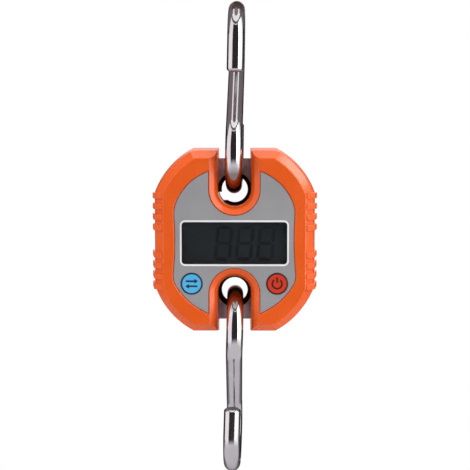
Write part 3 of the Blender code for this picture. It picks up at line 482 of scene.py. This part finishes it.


# Strain gauges and their seals: amber foil bonded in a round pocket on each face of the load cell, under soft
# white sealant. A near-black block of painted shade fills the lower slot, which then shows no light.
grain, given, made = node_group(
    "moulded_grain",
    [("Size", FLOAT, 2500.0), ("Low", FLOAT, 0.3), ("High", FLOAT, 0.4)],
    [("Height", FLOAT), ("Roughness", FLOAT), ("Cloud", FLOAT)],
)
place = add(grain, "TexCoord").outputs["Object"]
fine = add(grain, "TexNoise", Vector=place, Scale=given.outputs["Size"], Detail=2.0)
cloud = add(grain, "TexNoise", Vector=place, Scale=55.0, Detail=3.0)
spread = add(
    grain, "MapRange", Value=cloud.outputs["Fac"],
    From_Min=0.3, From_Max=0.7, To_Min=given.outputs["Low"], To_Max=given.outputs["High"],
)
grain.links.new(fine.outputs["Fac"], made.inputs["Height"])
grain.links.new(spread.outputs[0], made.inputs["Roughness"])
grain.links.new(cloud.outputs["Fac"], made.inputs["Cloud"])


def moulded(name, dark, light, size, low, high, depth, **values):
    """A moulded or coated finish: two close shades, fine grain and uneven gloss."""
    material = finish(name, **values)
    surface = effect(material, grain, Size=size, Low=low, High=high)
    tint(material, surface.outputs["Cloud"], dark, light)
    rough(material, surface.outputs["Roughness"])
    relief(material, surface.outputs["Height"], depth)
    return material


amber = moulded("amber_foil", (0.50, 0.26, 0.07), (0.66, 0.38, 0.12), 900, 0.28, 0.4, 0.00001)
sealant = moulded("soft_sealant", (0.66, 0.66, 0.62), (0.76, 0.76, 0.73), 500, 0.45, 0.6, 0.00004)
for face in ("front", "rear"):
    dress(f"{face}_strain_gauge", amber)
    dress(f"{face}_gauge_seal", sealant)
SHADE_BLOCK_IN = 0.0002                          # how far the painted shade block stays inside the load cell's faces
SHADE_BLOCK_START_X = 0.0035                     # beside the eye, which the shade block opens into
# Painted shade: a near-black block stands in the lower slot where there is only shade.
painted_slot_shade = moulded("painted_slot_shade", (0.018, 0.014, 0.013), (0.028, 0.022, 0.020), 900, 0.5, 0.7, 0.00002)
slot_shade_block = new_piece("slot_shade_block", block(
    (SHADE_BLOCK_START_X, CELL_HALF[0] - SHADE_BLOCK_IN), (-CELL_HALF[1] + SHADE_BLOCK_IN, CELL_HALF[1] - SHADE_BLOCK_IN),
    (-SLOT_MIDDLE - SLOT_HALF, -SLOT_MIDDLE + SLOT_HALF),
))
carve(slot_shade_block, "DIFFERENCE", turned(0, -EYE_Z, eye_line, 72))
settle(slot_shade_block, painted_slot_shade, "black_plastic", "housing")


# Screws: nickel-plated steel with a cross recess, turned and rolled. Two hold the load cell in the rear cover, four
# the board in the front cover, and four pull the two covers together from behind.
nickel = finish("nickel_plate", Metallic=1.0)
lines = effect(nickel, drawn, Stretch=(900, 2600, 900), Low=0.20, High=0.36)
tint(nickel, lines.outputs["Smudge"], (0.50, 0.46, 0.40), (0.66, 0.62, 0.55))
rough(nickel, lines.outputs["Roughness"])
relief(nickel, lines.outputs["Lines"], 0.00001)
for name in nodes:
    if "_screw_" in name:
        dress(name, nickel)


# Rear cover: one of the two hollow halves of the housing, injection moulded in glossy orange ABS.
# Its sides draw in for the mould, its edges are rounded, and ribs on both sides give grip. It carries the
# battery tray, sunk seats for the four housing screws, and half of each notch round the eyes.
GAP = 0.0003
HOUSING_WIDTH = 0.078
HOUSING_HEIGHT = 0.0892
TOP_FLAT = 0.040
SIDE_FLAT = 0.046
CORNER_BULGE = 0.0027
WALL = 0.002
DRAFT = 0.0016
NOTCH_HALF = 0.0075
NOTCH_DRAFT = 0.0006
NOTCH_STEPS = 32
EDGE_ROUNDS = (0.0009, 0.0011)            # where the sloped edge leaves the side and where it meets the face
RIM_WIDTH = 0.0038                        # of the rim round a notch, that its rounds are given for
RIM_ROUNDS = (0.003, 0.002, 0.0012)
RIM_BREAK = (0.32, 0.375)                 # where the rim changes its slope, in shares of its width and depth
REAR_Y = 0.019
REAR_EDGE = (0.0026, 0.0026)              # width and depth of the sloped edge
PARTING = 0.00015
RIBS_Z = [0.0065 + 0.00505 * step for step in range(4)]
RIB_HALF = 0.0014
RIB_PROUD = 0.001
RIB_SUNK = 0.0002                         # top of a rib below the face
RIB_ROUND = 0.0003
SCREWS = [(side * 0.0255, end * 0.029) for side in (-1, 1) for end in (-1, 1)]
SCREW_HOLE, SCREW_HEAD_HOLE = 0.0016, 0.0027
SCREW_SEAT_Y = 0.011
BOSS_RADIUS = 0.0034
CELL_SCREW_END_Y = 0.008
TRAY_HALF_X, TRAY_HALF_Z = 0.02625, 0.0112
TRAY_WALL = 0.003
TRAY_FLOOR_Y = (0.0046, 0.0061)
DOOR_LEDGE = 0.0012
DOOR_Y = (0.017, 0.0188)


def arc(start, end, bulge, steps):
    """Points of an arc after its start, bulging to the left of the way from start to end."""
    start, end = Vector(start), Vector(end)
    chord = end - start
    left = Vector((-chord.y, chord.x)).normalized()
    radius = (chord.length / 2) ** 2 / (2 * bulge) + bulge / 2
    middle = (start + end) / 2 + left * (bulge - radius)
    sweep = -2 * math.asin(chord.length / (2 * abs(radius))) * math.copysign(1, bulge)
    return [
        tuple(middle + Matrix.Rotation(sweep * step / steps, 2) @ (start - middle))
        for step in range(1, steps + 1)
    ]


def inset(outline, distance):
    """A clockwise outline moved in by a distance."""
    moved = []
    for index, corner in enumerate(outline):
        here = Vector(corner)
        before = (here - Vector(outline[index - 1])).normalized()
        after = (Vector(outline[(index + 1) % len(outline)]) - here).normalized()
        first, second = Vector((before.y, -before.x)), Vector((after.y, -after.x))
        moved.append(tuple(here + (first + second) * (distance / (1 + first.dot(second)))))
    return moved


def housing_outline(distance):
    """The housing's outline at the parting line, clockwise from the top, moved in by a distance."""
    half_width, half_height = HOUSING_WIDTH / 2, HOUSING_HEIGHT / 2
    top, side = TOP_FLAT / 2, SIDE_FLAT / 2
    points = [(top, half_height)]
    points += arc((top, half_height), (half_width, side), CORNER_BULGE, 12)
    points.append((half_width, -side))
    points += arc((half_width, -side), (top, -half_height), CORNER_BULGE, 12)
    points += [(-x, -z) for x, z in points]
    return inset(points, distance)


def notch_outline(half, end):
    """The U round an eye, open at the top of the housing for end 1 and at its foot for end -1."""
    mouth = HOUSING_HEIGHT / 2 + PAST
    points = [(half, mouth)]
    for step in range(NOTCH_STEPS + 1):
        turn = math.pi * step / NOTCH_STEPS
        points.append((half * math.cos(turn), EYE_Z - half * math.sin(turn)))
    points.append((-half, mouth))
    return [(x, end * z) for x, z in points]


def filleted(corners, steps=5):
    """A section line through (across, along, radius) corners, rounded where the radius isn't 0."""
    line = []
    for index, (across, along, radius) in enumerate(corners):
        here = Vector((across, along))
        if radius == 0:
            line.append(here)
            continue
        before = (Vector(corners[index - 1][:2]) - here).normalized()
        after = (Vector(corners[index + 1][:2]) - here).normalized()
        half = before.angle(after) / 2
        reach = radius / math.tan(half)
        middle = here + (before + after).normalized() * (radius / math.sin(half))
        first, last = here + before * reach - middle, here + after * reach - middle
        sweep = first.angle(last)
        for step in range(steps + 1):
            share = step / steps
            spoke = first * math.sin((1 - share) * sweep) + last * math.sin(share * sweep)
            line.append(middle + spoke / math.sin(sweep))
    return line


def cover_form(face_y, edge):
    """The full outer form of one cover."""
    back = math.copysign(1, face_y)
    width, depth = edge
    section = filleted([
        (0, back * PARTING, 0),
        (DRAFT, face_y - back * depth, EDGE_ROUNDS[0]),
        (DRAFT + width, face_y, EDGE_ROUNDS[1]),
        (HOUSING_WIDTH / 2, face_y, 0),
    ])[:-1]
    return loft([at(housing_outline(across), along) for across, along in section])


def cover_notch(face_y, edge, end):
    """The room of a notch in one cover: its rim leans out from the wall and then rolls over to the face."""
    back = math.copysign(1, face_y)
    width, depth = edge
    rim = NOTCH_HALF + NOTCH_DRAFT
    share = width / RIM_WIDTH
    out, down = RIM_BREAK
    section = filleted([
        (NOTCH_HALF, -back * PAST, 0),
        (rim, face_y - back * depth, RIM_ROUNDS[0] * share),
        (rim + out * width, face_y - back * down * depth, RIM_ROUNDS[1] * share),
        (rim + width, face_y + back * 0.00001, RIM_ROUNDS[2] * share),
        (rim + width + 0.0012, face_y + back * 0.00005, 0),
        (rim + width + 0.0016, face_y + back * PAST, 0),
    ])
    return loft([at(notch_outline(across, end), along) for across, along in section])


def cover_hollow(face_y, edge):
    """The inside of one cover, which leaves a wall round the notches."""
    back = math.copysign(1, face_y)
    width, depth = edge
    rings = (
        (WALL, -back * PAST),
        (DRAFT + WALL, face_y - back * depth),
        (DRAFT + width + 0.7 * WALL, face_y - back * WALL),
    )
    hollow = new_piece("hollow", loft([at(housing_outline(a), y) for a, y in rings]))
    rim = NOTCH_HALF + NOTCH_DRAFT + WALL
    for end in (1, -1):
        tower = [
            at(notch_outline(NOTCH_HALF + WALL, end), -back * 2 * PAST),
            at(notch_outline(rim, end), face_y - back * depth),
            at(notch_outline(rim + width * (depth + PAST) / depth, end), face_y + back * PAST),
        ]
        carve(hollow, "DIFFERENCE", loft(tower))
    mesh = hollow.data.copy()
    bpy.data.objects.remove(hollow)
    return mesh


def cover_ribs(face_y, edge):
    """Grip ribs over the side and the sloped edge of one cover, with rounded edges."""
    back = math.copysign(1, face_y)
    width, depth = edge
    half, root = HOUSING_WIDTH / 2, WALL / 2
    edge_y, top_y = face_y - back * depth, face_y - back * RIB_SUNK
    section = (
        (half - root, back * PARTING),
        (half + RIB_PROUD, back * PARTING),
        (half - DRAFT + RIB_PROUD, edge_y),
        (half - DRAFT - width + RIB_PROUD, top_y),
        (half - DRAFT - width - root, top_y),
        (half - DRAFT - root, edge_y),
    )
    bars = []
    for side in (-1, 1):
        for place in [end * z for end in (-1, 1) for z in RIBS_Z]:
            ends = (place - RIB_HALF, place + RIB_HALF)
            bar = loft([[Vector((side * x, y, z)) for x, y in section] for z in ends])
            bm = bmesh.new()
            bm.from_mesh(bar)
            proud = [e for e in bm.edges if all(abs(v.co.x) > half - DRAFT - width for v in e.verts)]
            proud = [e for e in proud if max(abs(v.co.y) for v in e.verts) > 2 * PARTING]
            bmesh.ops.bevel(
                bm, geom=proud, offset=RIB_ROUND, segments=3, profile=0.5, affect="EDGES", clamp_overlap=True,
            )
            bm.to_mesh(bar)
            bm.free()
            bars.append(bar)
    return bars


orange = moulded(
    "orange_abs", (0.80, 0.102, 0.008), (0.86, 0.115, 0.011), 1500, 0.22, 0.30, 0.000006, Specular_IOR_Level=0.42,
)
cell_room = [(-half - GAP, half + GAP) for half in CELL_HALF]
rear_cover = new_piece("rear_cover_moulding", cover_form(REAR_Y, REAR_EDGE))
carve(rear_cover, "DIFFERENCE", *[cover_notch(REAR_Y, REAR_EDGE, end) for end in (1, -1)])
carve(rear_cover, "DIFFERENCE", cover_hollow(REAR_Y, REAR_EDGE))
carve(rear_cover, "UNION", *cover_ribs(REAR_Y, REAR_EDGE))
sunk_y = REAR_Y - WALL / 2
bosses = [turned(x, z, ((PARTING, BOSS_RADIUS), (sunk_y, BOSS_RADIUS))) for x, z in SCREWS]
bosses += [turned(x, z, ((CELL_HALF[1] + GAP, BOSS_RADIUS), (sunk_y, BOSS_RADIUS))) for x, z in CELL_SCREWS]
carve(rear_cover, "UNION", *bosses)
tray_x, tray_z = TRAY_HALF_X + TRAY_WALL, TRAY_HALF_Z + TRAY_WALL
carve(rear_cover, "UNION", block((-tray_x, tray_x), (TRAY_FLOOR_Y[0], sunk_y), (-tray_z, tray_z)))
carve(rear_cover, "DIFFERENCE", block(
    (-TRAY_HALF_X, TRAY_HALF_X), (TRAY_FLOOR_Y[1], REAR_Y + PAST), (-TRAY_HALF_Z, TRAY_HALF_Z),
))
seat_x, seat_z = TRAY_HALF_X + DOOR_LEDGE + GAP, TRAY_HALF_Z + DOOR_LEDGE + GAP
carve(rear_cover, "DIFFERENCE", block(
    (-seat_x, seat_x), (DOOR_Y[0] - GAP, REAR_Y + PAST), (-seat_z, seat_z),
))
stepped = (
    (-PAST, SCREW_HOLE), (SCREW_SEAT_Y, SCREW_HOLE),
    (SCREW_SEAT_Y, SCREW_HEAD_HOLE), (REAR_Y + PAST, SCREW_HEAD_HOLE),
)
holes = [turned(x, z, stepped) for x, z in SCREWS]
holes += [turned(x, z, ((0, CELL_SCREW_HOLE), (CELL_SCREW_END_Y, CELL_SCREW_HOLE))) for x, z in CELL_SCREWS]
carve(rear_cover, "DIFFERENCE", *holes)
carve(rear_cover, "DIFFERENCE", block(*cell_room))
settle(rear_cover, orange, "orange_abs", "housing", "rear_cover")


# Battery door: a flat lid moulded in the same orange ABS, with rounded edges and four grooves for a thumb.
# It clips into its seat in the back, over the battery tray, and lifts straight out.
DOOR_ROUND = 0.0004
DOOR_CORNER = 0.0009
GROOVE_LENGTH = 0.0112
GROOVE_START, GROOVE_PITCH = 0.0032, 0.0016
GROOVE_LINE = ((-0.0008, 0.0002), (-0.0004, 0.0004), (PAST, 0.0004))     # depth at the lid's face, half width


def rounded_box(width, height, radius, middle_z, steps=8):
    """A rectangle with round corners, clockwise."""
    points = []
    for quarter, (side, end) in enumerate(((1, 1), (1, -1), (-1, -1), (-1, 1))):
        middle = (side * (width / 2 - radius), middle_z + end * (height / 2 - radius))
        for step in range(steps + 1):
            turn = math.pi / 2 * (1 - quarter - step / steps)
            points.append((middle[0] + radius * math.cos(turn), middle[1] + radius * math.sin(turn)))
    return points


door_x, door_z = TRAY_HALF_X + DOOR_LEDGE, TRAY_HALF_Z + DOOR_LEDGE
levels = [(DOOR_Y[0], 0)]
for step in range(5):
    turn = math.pi / 2 * step / 4
    levels.append((DOOR_Y[1] - DOOR_ROUND * (1 - math.sin(turn)), DOOR_ROUND * (1 - math.cos(turn))))
door = new_piece("battery_door_lid", loft([
    at(rounded_box(2 * (door_x - short), 2 * (door_z - short), DOOR_CORNER - short, 0), y) for y, short in levels
]))
grooves = []
for step in range(4):
    grooves.append(loft([
        at(rounded_box(2 * half, GROOVE_LENGTH + 2 * half, half - 0.00002, 0), DOOR_Y[1] + depth)
        for depth, half in GROOVE_LINE
    ]))
    grooves[-1].transform(Matrix.Translation((door_x - GROOVE_START - GROOVE_PITCH * step, 0, 0)))
carve(door, "DIFFERENCE", *grooves)
settle(door, orange, "orange_abs", "battery_door", "battery_door")


# Front cover: the other orange half, moulded like the rear one, with a wider sloped edge and a sunk face for the
# panel. The window and both keys look out through it, the board is screwed to bosses behind it, and the four
# housing screws bite in its corner bosses.
FRONT_Y = -0.016
FRONT_EDGE = (0.0038, 0.0048)
INNER_FRONT_Y = -0.014
RECESS_Y = -0.015
PANEL_LIP = 0.0004
PANEL_NOTCH = NOTCH_HALF + NOTCH_DRAFT + FRONT_EDGE[0] + PANEL_LIP
SUNK_EDGE = ((0.00062, -0.00017), (-0.00011, 0.00053))    # small slope round the sunk face: out, and depth
LENS_Z = -0.0006
OPENING = (0.0498, 0.0199, 0.0016)        # width, height and corner of the clear part of the window
KEYS = [(-0.0202, -0.0198), (0.0202, -0.0198)]
KEY_HOLE = 0.00525
BOARD_SCREWS = [(side * 0.0293, end * 0.009) for side in (-1, 1) for end in (-1, 1)]
PILOT_DEPTH = 0.0016
BOARD_BOSS, BOARD_PILOT = 0.0019, 0.0012
BOARD_Y = -0.0084
BOARD_PILOT_Y = (-0.0115, -0.0064)


def panel_outline(distance):
    """The panel's outline, clockwise, moved in by a distance: a shield with a round bay under each notch."""
    top, shoulder = (PANEL_NOTCH, 0.033), (0.0285, 0.015)
    hip, bottom = (0.0291, -0.018), (PANEL_NOTCH, -0.0338)
    right = [top] + arc(top, shoulder, 0.0031, 16) + arc(shoulder, hip, -0.0009, 20) + arc(hip, bottom, 0.0021, 16)
    for _ in range(4):                    # each pass smooths the corners between the arcs a little more
        right[1:-1] = [
            ((a[0] + 2 * b[0] + c[0]) / 4, (a[1] + 2 * b[1] + c[1]) / 4)
            for a, b, c in zip(right, right[1:], right[2:])
        ]
    bay = []
    for step in range(NOTCH_STEPS + 1):
        turn = math.pi * step / NOTCH_STEPS
        bay.append((PANEL_NOTCH * math.cos(turn), PANEL_NOTCH * math.sin(turn) - EYE_Z))
    left = [(-x, z) for x, z in reversed(right)]
    return inset(right + bay + left + [(-x, -z) for x, z in bay], distance)


front_cover = new_piece("front_cover_moulding", cover_form(FRONT_Y, FRONT_EDGE))
carve(front_cover, "DIFFERENCE", *[cover_notch(FRONT_Y, FRONT_EDGE, end) for end in (1, -1)])
carve(front_cover, "DIFFERENCE", cover_hollow(FRONT_Y, FRONT_EDGE))
carve(front_cover, "UNION", *cover_ribs(FRONT_Y, FRONT_EDGE))
bosses = [turned(x, z, ((RECESS_Y, BOSS_RADIUS), (-PARTING, BOSS_RADIUS))) for x, z in SCREWS]
bosses += [turned(x, z, ((RECESS_Y, BOARD_BOSS), (BOARD_Y, BOARD_BOSS))) for x, z in BOARD_SCREWS]
carve(front_cover, "UNION", *bosses)
carve(front_cover, "DIFFERENCE", slab(panel_outline(-GAP), FRONT_Y - PAST, RECESS_Y))
carve(front_cover, "DIFFERENCE", loft([
    at(panel_outline(-GAP - out), FRONT_Y + depth) for out, depth in SUNK_EDGE
]))
opened = (FRONT_Y - PAST, INNER_FRONT_Y + PAST / 2)
openings = [slab(rounded_box(*OPENING, LENS_Z), *opened)]
openings += [turned(x, z, [(y, KEY_HOLE) for y in opened], 48) for x, z in KEYS]
carve(front_cover, "DIFFERENCE", *openings)
pilots = [turned(x, z, ((-PILOT_DEPTH, SCREW_HOLE), (PAST, SCREW_HOLE))) for x, z in SCREWS]
pilots += [turned(x, z, [(y, BOARD_PILOT) for y in BOARD_PILOT_Y]) for x, z in BOARD_SCREWS]
carve(front_cover, "DIFFERENCE", *pilots)
carve(front_cover, "DIFFERENCE", block(*cell_room))
settle(front_cover, orange, "orange_abs", "housing", "front_cover")


# Batteries and contacts: two plain dark-sleeved cells turned end for end in the tray of the rear cover.
# Nickel-plated coil springs and stamped tabs, pushed into the ends of the tray, hold them.
sleeve = moulded("battery_sleeve", (0.03, 0.03, 0.035), (0.055, 0.055, 0.062), 1200, 0.25, 0.35, 0.000008)
for number in (1, 2):
    dress(f"battery_{number}", sleeve)
    dress(f"battery_spring_{number}", nickel)
for name in ("link_contact", "positive_contact", "negative_contact"):
    dress(name, nickel)


# Board, chips and switches: a green glass-fibre board screwed to bosses in the front cover.
# Black moulded chips and switches are soldered to it. The switches' plungers and the backlight are white mouldings.
solder_mask = moulded("solder_mask", (0.012, 0.13, 0.05), (0.02, 0.19, 0.075), 1800, 0.28, 0.42, 0.00001)
dress("main_board", solder_mask)
black = moulded("black_moulding", (0.016, 0.016, 0.018), (0.028, 0.028, 0.03), 1600, 0.4, 0.55, 0.00001)
for name in ("controller_chip", "converter_chip", "unit_switch", "power_switch"):
    dress(name, black)
white = moulded("white_moulding", (0.68, 0.68, 0.68), (0.78, 0.78, 0.78), 1400, 0.35, 0.5, 0.000008)
for name in ("unit_plunger", "power_plunger", "backlight"):
    dress(name, white)


# Display: dark liquid crystal glass on its backlight, behind the window, fixed to the board.
# It is off: the seven-bar figures only show as a slightly darker ghost.
GLASS_Y = -0.0137
crystal = moulded("crystal_glass", (0.052, 0.063, 0.073), (0.062, 0.074, 0.084), 700, 0.12, 0.18, 0.000002)
dress("display_glass", crystal)
FIGURE_SIZE = (0.0066, 0.0150)
FIGURE_LEAN = math.tan(math.radians(5))
FIGURES_X = (-0.0051, 0.0049, 0.0149)
FIGURES_Z = LENS_Z - 0.0002
BAR_HALF = 0.0008
INK = 0.00002                             # how far ink stands on a face


def bar(start, end, gap=0.00025):
    """One bar of a figure: a stroke between two places, pointed at both ends."""
    start, end = Vector(start), Vector(end)
    along = (end - start).normalized()
    across = Vector((-along.y, along.x)) * BAR_HALF
    start, end = start + along * gap, end - along * gap
    tip = along * BAR_HALF
    return [start, start + tip + across, end - tip + across, end, end - tip - across, start + tip - across]


def printed(name, outlines, face_y, material, slot, body):
    """Thin ink shapes that stand a hair's breadth on a face towards the front."""
    piece = new_piece(name, slab(outlines[0], face_y - INK, face_y))
    bm = bmesh.new()
    bm.from_mesh(piece.data)
    for outline in outlines[1:]:
        shape = slab(outline, face_y - INK, face_y)
        bm.from_mesh(shape)
        bpy.data.meshes.remove(shape)
    bm.to_mesh(piece.data)
    bm.free()
    settle(piece, material, slot, body)


ghost = moulded("ghost_bars", (0.032, 0.036, 0.044), (0.040, 0.044, 0.052), 700, 0.12, 0.18, 0.000002)
wide, tall = FIGURE_SIZE
corners = {
    (side, level): (side * wide / 2, level * tall / 2) for side in (-1, 1) for level in (-1, 0, 1)
}
strokes = [((-1, level), (1, level)) for level in (-1, 0, 1)]
strokes += [((side, level), (side, level + 1)) for side in (-1, 1) for level in (-1, 0)]
bars = []
for middle_x in FIGURES_X:
    for first, last in strokes:
        outline = bar(corners[first], corners[last])
        bars.append([(middle_x + x + z * FIGURE_LEAN, FIGURES_Z + z) for x, z in outline])
printed("ghost_figures", bars, GLASS_Y, ghost, "display_glass", "housing")


# Face panel: a thin grey sheet with a fine matt texture, die cut and bonded in the sunk face.
# A window opening and two key holes are cut through it.
PANEL_Y = (-0.0158, -0.0153)
PANEL_OPENING = (0.0517, 0.022, 0.0026)   # width, height and corner
film = moulded("grey_film", (0.285, 0.281, 0.294), (0.315, 0.311, 0.325), 3200, 0.48, 0.6, 0.000012)
panel = new_piece("face_panel_sheet", slab(panel_outline(0), *PANEL_Y))
through = (PANEL_Y[0] - PAST, PANEL_Y[1] + PAST)
cuts = [slab(rounded_box(*PANEL_OPENING, LENS_Z), *through)]
cuts += [turned(x, z, [(y, KEY_HOLE) for y in through], 64) for x, z in KEYS]
carve(panel, "DIFFERENCE", *cuts)
settle(panel, film, "grey_film", "housing", "face_panel")


# Window: a clear hard acrylic sheet, set flush in the panel's opening over the display.
# A white border is printed round its edge.
WINDOW = (0.0515, 0.0218, 0.0025)         # width, height and corner
BORDER_INK = 0.00003
clear = finish("clear_window", Roughness=0.04, IOR=1.49, Transmission_Weight=1.0, Base_Color=(0.9, 0.92, 0.92))
surface = effect(clear, grain, Size=400, Low=0.02, High=0.05)
rough(clear, surface.outputs["Roughness"])
window = new_piece("window_sheet", slab(rounded_box(*WINDOW, LENS_Z), *PANEL_Y))
settle(window, clear, "clear_acrylic", "housing", "window_lens")
white_ink = moulded("white_ink", (0.80, 0.80, 0.82), (0.86, 0.86, 0.88), 1800, 0.35, 0.45, 0.000004)
border = new_piece("window_border", slab(rounded_box(*WINDOW, LENS_Z), PANEL_Y[0] - BORDER_INK, PANEL_Y[0]))
carve(border, "DIFFERENCE", slab(rounded_box(*OPENING, LENS_Z), PANEL_Y[0] - PAST, PANEL_Y[0] + PAST))
settle(border, white_ink, "white_plastic", "housing")


# Keys: round moulded caps, blue for the units and red for the power, each over its own switch.
# A darker rim is printed round each face, with a plain mark: two arrows for a change, a broken ring for power.
KEY_FRONT_Y = -0.0161
KEY_RADIUS = 0.0051
KEY_FACE = 0.0045                         # radius of the coloured face inside the dark rim
FLANGE_Y = (-0.0137, -0.0128)
FLANGE_RADIUS = 0.0061
STEM_END_Y, STEM_RADIUS = -0.0127, 0.0015
MARK_HALF = 0.00034                       # half the width of a line of the marks
MARK_SCALE = 1.2
KEY_LINE = (
    (KEY_FRONT_Y, 0.0047), (KEY_FRONT_Y + 0.00008, 0.0049), (KEY_FRONT_Y + 0.0002, 0.00503),
    (KEY_FRONT_Y + 0.0004, KEY_RADIUS), (FLANGE_Y[0], KEY_RADIUS), (FLANGE_Y[0], FLANGE_RADIUS),
    (FLANGE_Y[1], FLANGE_RADIUS), (FLANGE_Y[1], STEM_RADIUS), (STEM_END_Y, STEM_RADIUS),
)


def stroke(start, end, half):
    """A plain straight line of ink."""
    start, end = Vector(start), Vector(end)
    along = (end - start).normalized()
    across = Vector((-along.y, along.x)) * half
    return [start + across, end + across, end - across, start - across]


def arrow(tail, head, half, spread):
    """An arrow of ink with a solid head."""
    tail, head = Vector(tail), Vector(head)
    along = (head - tail).normalized()
    across = Vector((-along.y, along.x))
    neck = head - along * spread * 1.5
    return [
        tail + across * half, neck + across * half, neck + across * spread, head,
        neck - across * spread, neck - across * half, tail - across * half,
    ]


def broken_ring(radius, half, opening):
    """A ring of ink, open at the top by an angle each way."""
    turns = [opening + (math.tau - 2 * opening) * step / 40 for step in range(41)]
    outer = [((radius + half) * math.sin(t), (radius + half) * math.cos(t)) for t in turns]
    return outer + [((radius - half) * math.sin(t), (radius - half) * math.cos(t)) for t in reversed(turns)]


change_mark = [
    arrow((-way * 0.0023, way * 0.0010), (way * 0.0025, way * 0.0010), MARK_HALF, 0.00095) for way in (1, -1)
]
power_mark = [broken_ring(0.0019, MARK_HALF, math.radians(38)), stroke((0, 0.0004), (0, 0.0026), MARK_HALF)]
for label, slot, (x, z), dark, light, ink, mark in (
    ("unit", "blue_key", KEYS[0], (0.066, 0.42, 0.74), (0.085, 0.47, 0.80), (0.004, 0.020, 0.075), change_mark),
    ("power", "red_key", KEYS[1], (0.60, 0.029, 0.006), (0.68, 0.037, 0.008), (0.050, 0.005, 0.004), power_mark),
):
    colour = moulded(f"{label}_key_cap", dark, light, 2200, 0.32, 0.42, 0.000008)
    disc = effect(colour, rounds, Centre=(x, 0, z), Radius=KEY_FACE, Blur=0.0001)
    inverse = add(colour.node_tree, "Math", "SUBTRACT", in0=1.0, in1=disc.outputs["Inside"])
    cover_with(colour, inverse.outputs[0], ink)
    settle(new_piece(f"{label}_key_cap", turned(x, z, KEY_LINE, 64)), colour, slot, f"{label}_key", f"{label}_key")
    dye = moulded(f"{label}_key_ink", ink, tuple(c * 1.2 for c in ink), 1800, 0.4, 0.5, 0.000004)
    outlines = [[(x + MARK_SCALE * across, z + MARK_SCALE * up) for across, up in outline] for outline in mark]
    printed(f"{label}_key_mark", outlines, KEY_FRONT_Y, dye, slot, f"{label}_key")


# Hooks: two like hooks of steel rod, bent cold into an S and polished bright, with ends sawn square and chamfered.
# Each hangs loose in an eye of the load cell, a little askew: the upper one hangs the scale up, the lower one takes
# the load. Where a hook sits in its eye, its steel is coloured darker as painted shade.
ROD_RADIUS = 0.004
LOOP_RADIUS = 0.017                       # to the middle of the rod
LOOP_SPACING = 0.05
LOOP_Z = 0.0434416
TIP_STRAIGHT = 0.014
ROD_SIDES = 48
BEND_STEPS = 120
EYE_SHADE = ((1, 0.0090), (-1, 0.0070))        # end of the scale and radius of the painted shade where the hook sits in its eye
EYE_SHADE_BLUR = 0.0035
TIP_LINE = ((0, 0.0009), (0.0001, 0.0007), (0.0008, 0.00005), (0.0010, 0), (0.0011, 0), (0.007, 0))
PULL_LEAN = math.radians(0.9)
steel = finish("polished_steel", Metallic=1.0, Specular_Tint=(0.55, 0.52, 0.52))
lines = effect(steel, drawn, Stretch=(1800, 240, 240), Low=0.07, High=0.12)
tint(steel, lines.outputs["Smudge"], (0.74, 0.715, 0.74), (0.83, 0.81, 0.83))
rough(steel, lines.outputs["Roughness"])
# Painted shade: the rod's colour is darkened round the place where it hangs in its eye.
for end, reach in EYE_SHADE:
    eye_shade_mask = effect(steel, rounds, Centre=(0, 0, end * (LOOP_Z - LOOP_RADIUS)), Radius=reach, Blur=EYE_SHADE_BLUR)
    cover_with(steel, eye_shade_mask.outputs["Inside"], (0.36, 0.31, 0.31))

sawn = finish("sawn_steel", Metallic=1.0)
lines = effect(sawn, drawn, Stretch=(600, 5000, 600), Low=0.42, High=0.6)
tint(sawn, lines.outputs["Lines"], (0.16, 0.155, 0.16), (0.30, 0.29, 0.30))
rough(sawn, lines.outputs["Roughness"])
relief(sawn, lines.outputs["Lines"], 0.00004)


def hook_stations():
    """(middle, direction, radius) along half of the rod in (y, z), from its cut end to the middle of the S."""
    start = Vector((LOOP_RADIUS, TIP_STRAIGHT))
    down = Vector((0, -1))
    stations = [(start + down * drop, down, ROD_RADIUS - short) for drop, short in TIP_LINE]
    sweep = math.pi + math.asin(2 * LOOP_RADIUS / LOOP_SPACING)
    for step in range(BEND_STEPS + 1):
        turn = -sweep * step / BEND_STEPS
        spoke = Vector((math.cos(turn), math.sin(turn)))
        stations.append((spoke * LOOP_RADIUS, Vector((spoke.y, -spoke.x)), ROD_RADIUS))
    return stations


def hook_mesh():
    """The rod swept along the S, its origin in the middle of the loop that hangs in the eye."""
    half = hook_stations()
    far = Vector((0, LOOP_SPACING))
    route = half + [(far - middle, way, radius) for middle, way, radius in reversed(half)]
    rings = []
    for middle, way, radius in route:
        ring = []
        for step in range(ROD_SIDES):
            turn = math.tau * step / ROD_SIDES
            out = radius * math.sin(turn)
            ring.append(Vector((radius * math.cos(turn), middle.x - way.y * out, middle.y + way.x * out)))
        rings.append(ring)
    return loft(rings)


for name, end, eye_twist, far_twist in (("upper_hook", 1, -1.1, -0.5), ("lower_hook", -1, 0.6, -1.9)):
    mesh = hook_mesh()
    for vert in mesh.vertices:
        share = min(max(vert.co.z / LOOP_SPACING, 0), 1)
        twist = math.radians(eye_twist + (far_twist - eye_twist) * share)
        vert.co = Matrix.Rotation(end * twist, 3, "Z") @ vert.co
    if end < 0:
        mesh.transform(Matrix.Rotation(math.pi, 4, "Y"))
    mesh.transform(Matrix.Rotation(PULL_LEAN, 4, "Y"))
    mesh.transform(Matrix.Translation((0, 0, end * LOOP_Z)))
    rod = new_piece(f"{name}_rod", mesh)
    settle(rod, steel, "polished_steel", name, name)
    rod.data.materials.append(sawn)
    for face in rod.data.polygons:        # the two sawn ends are the only faces with more than four corners
        face.material_index = int(len(face.vertices) > 4)
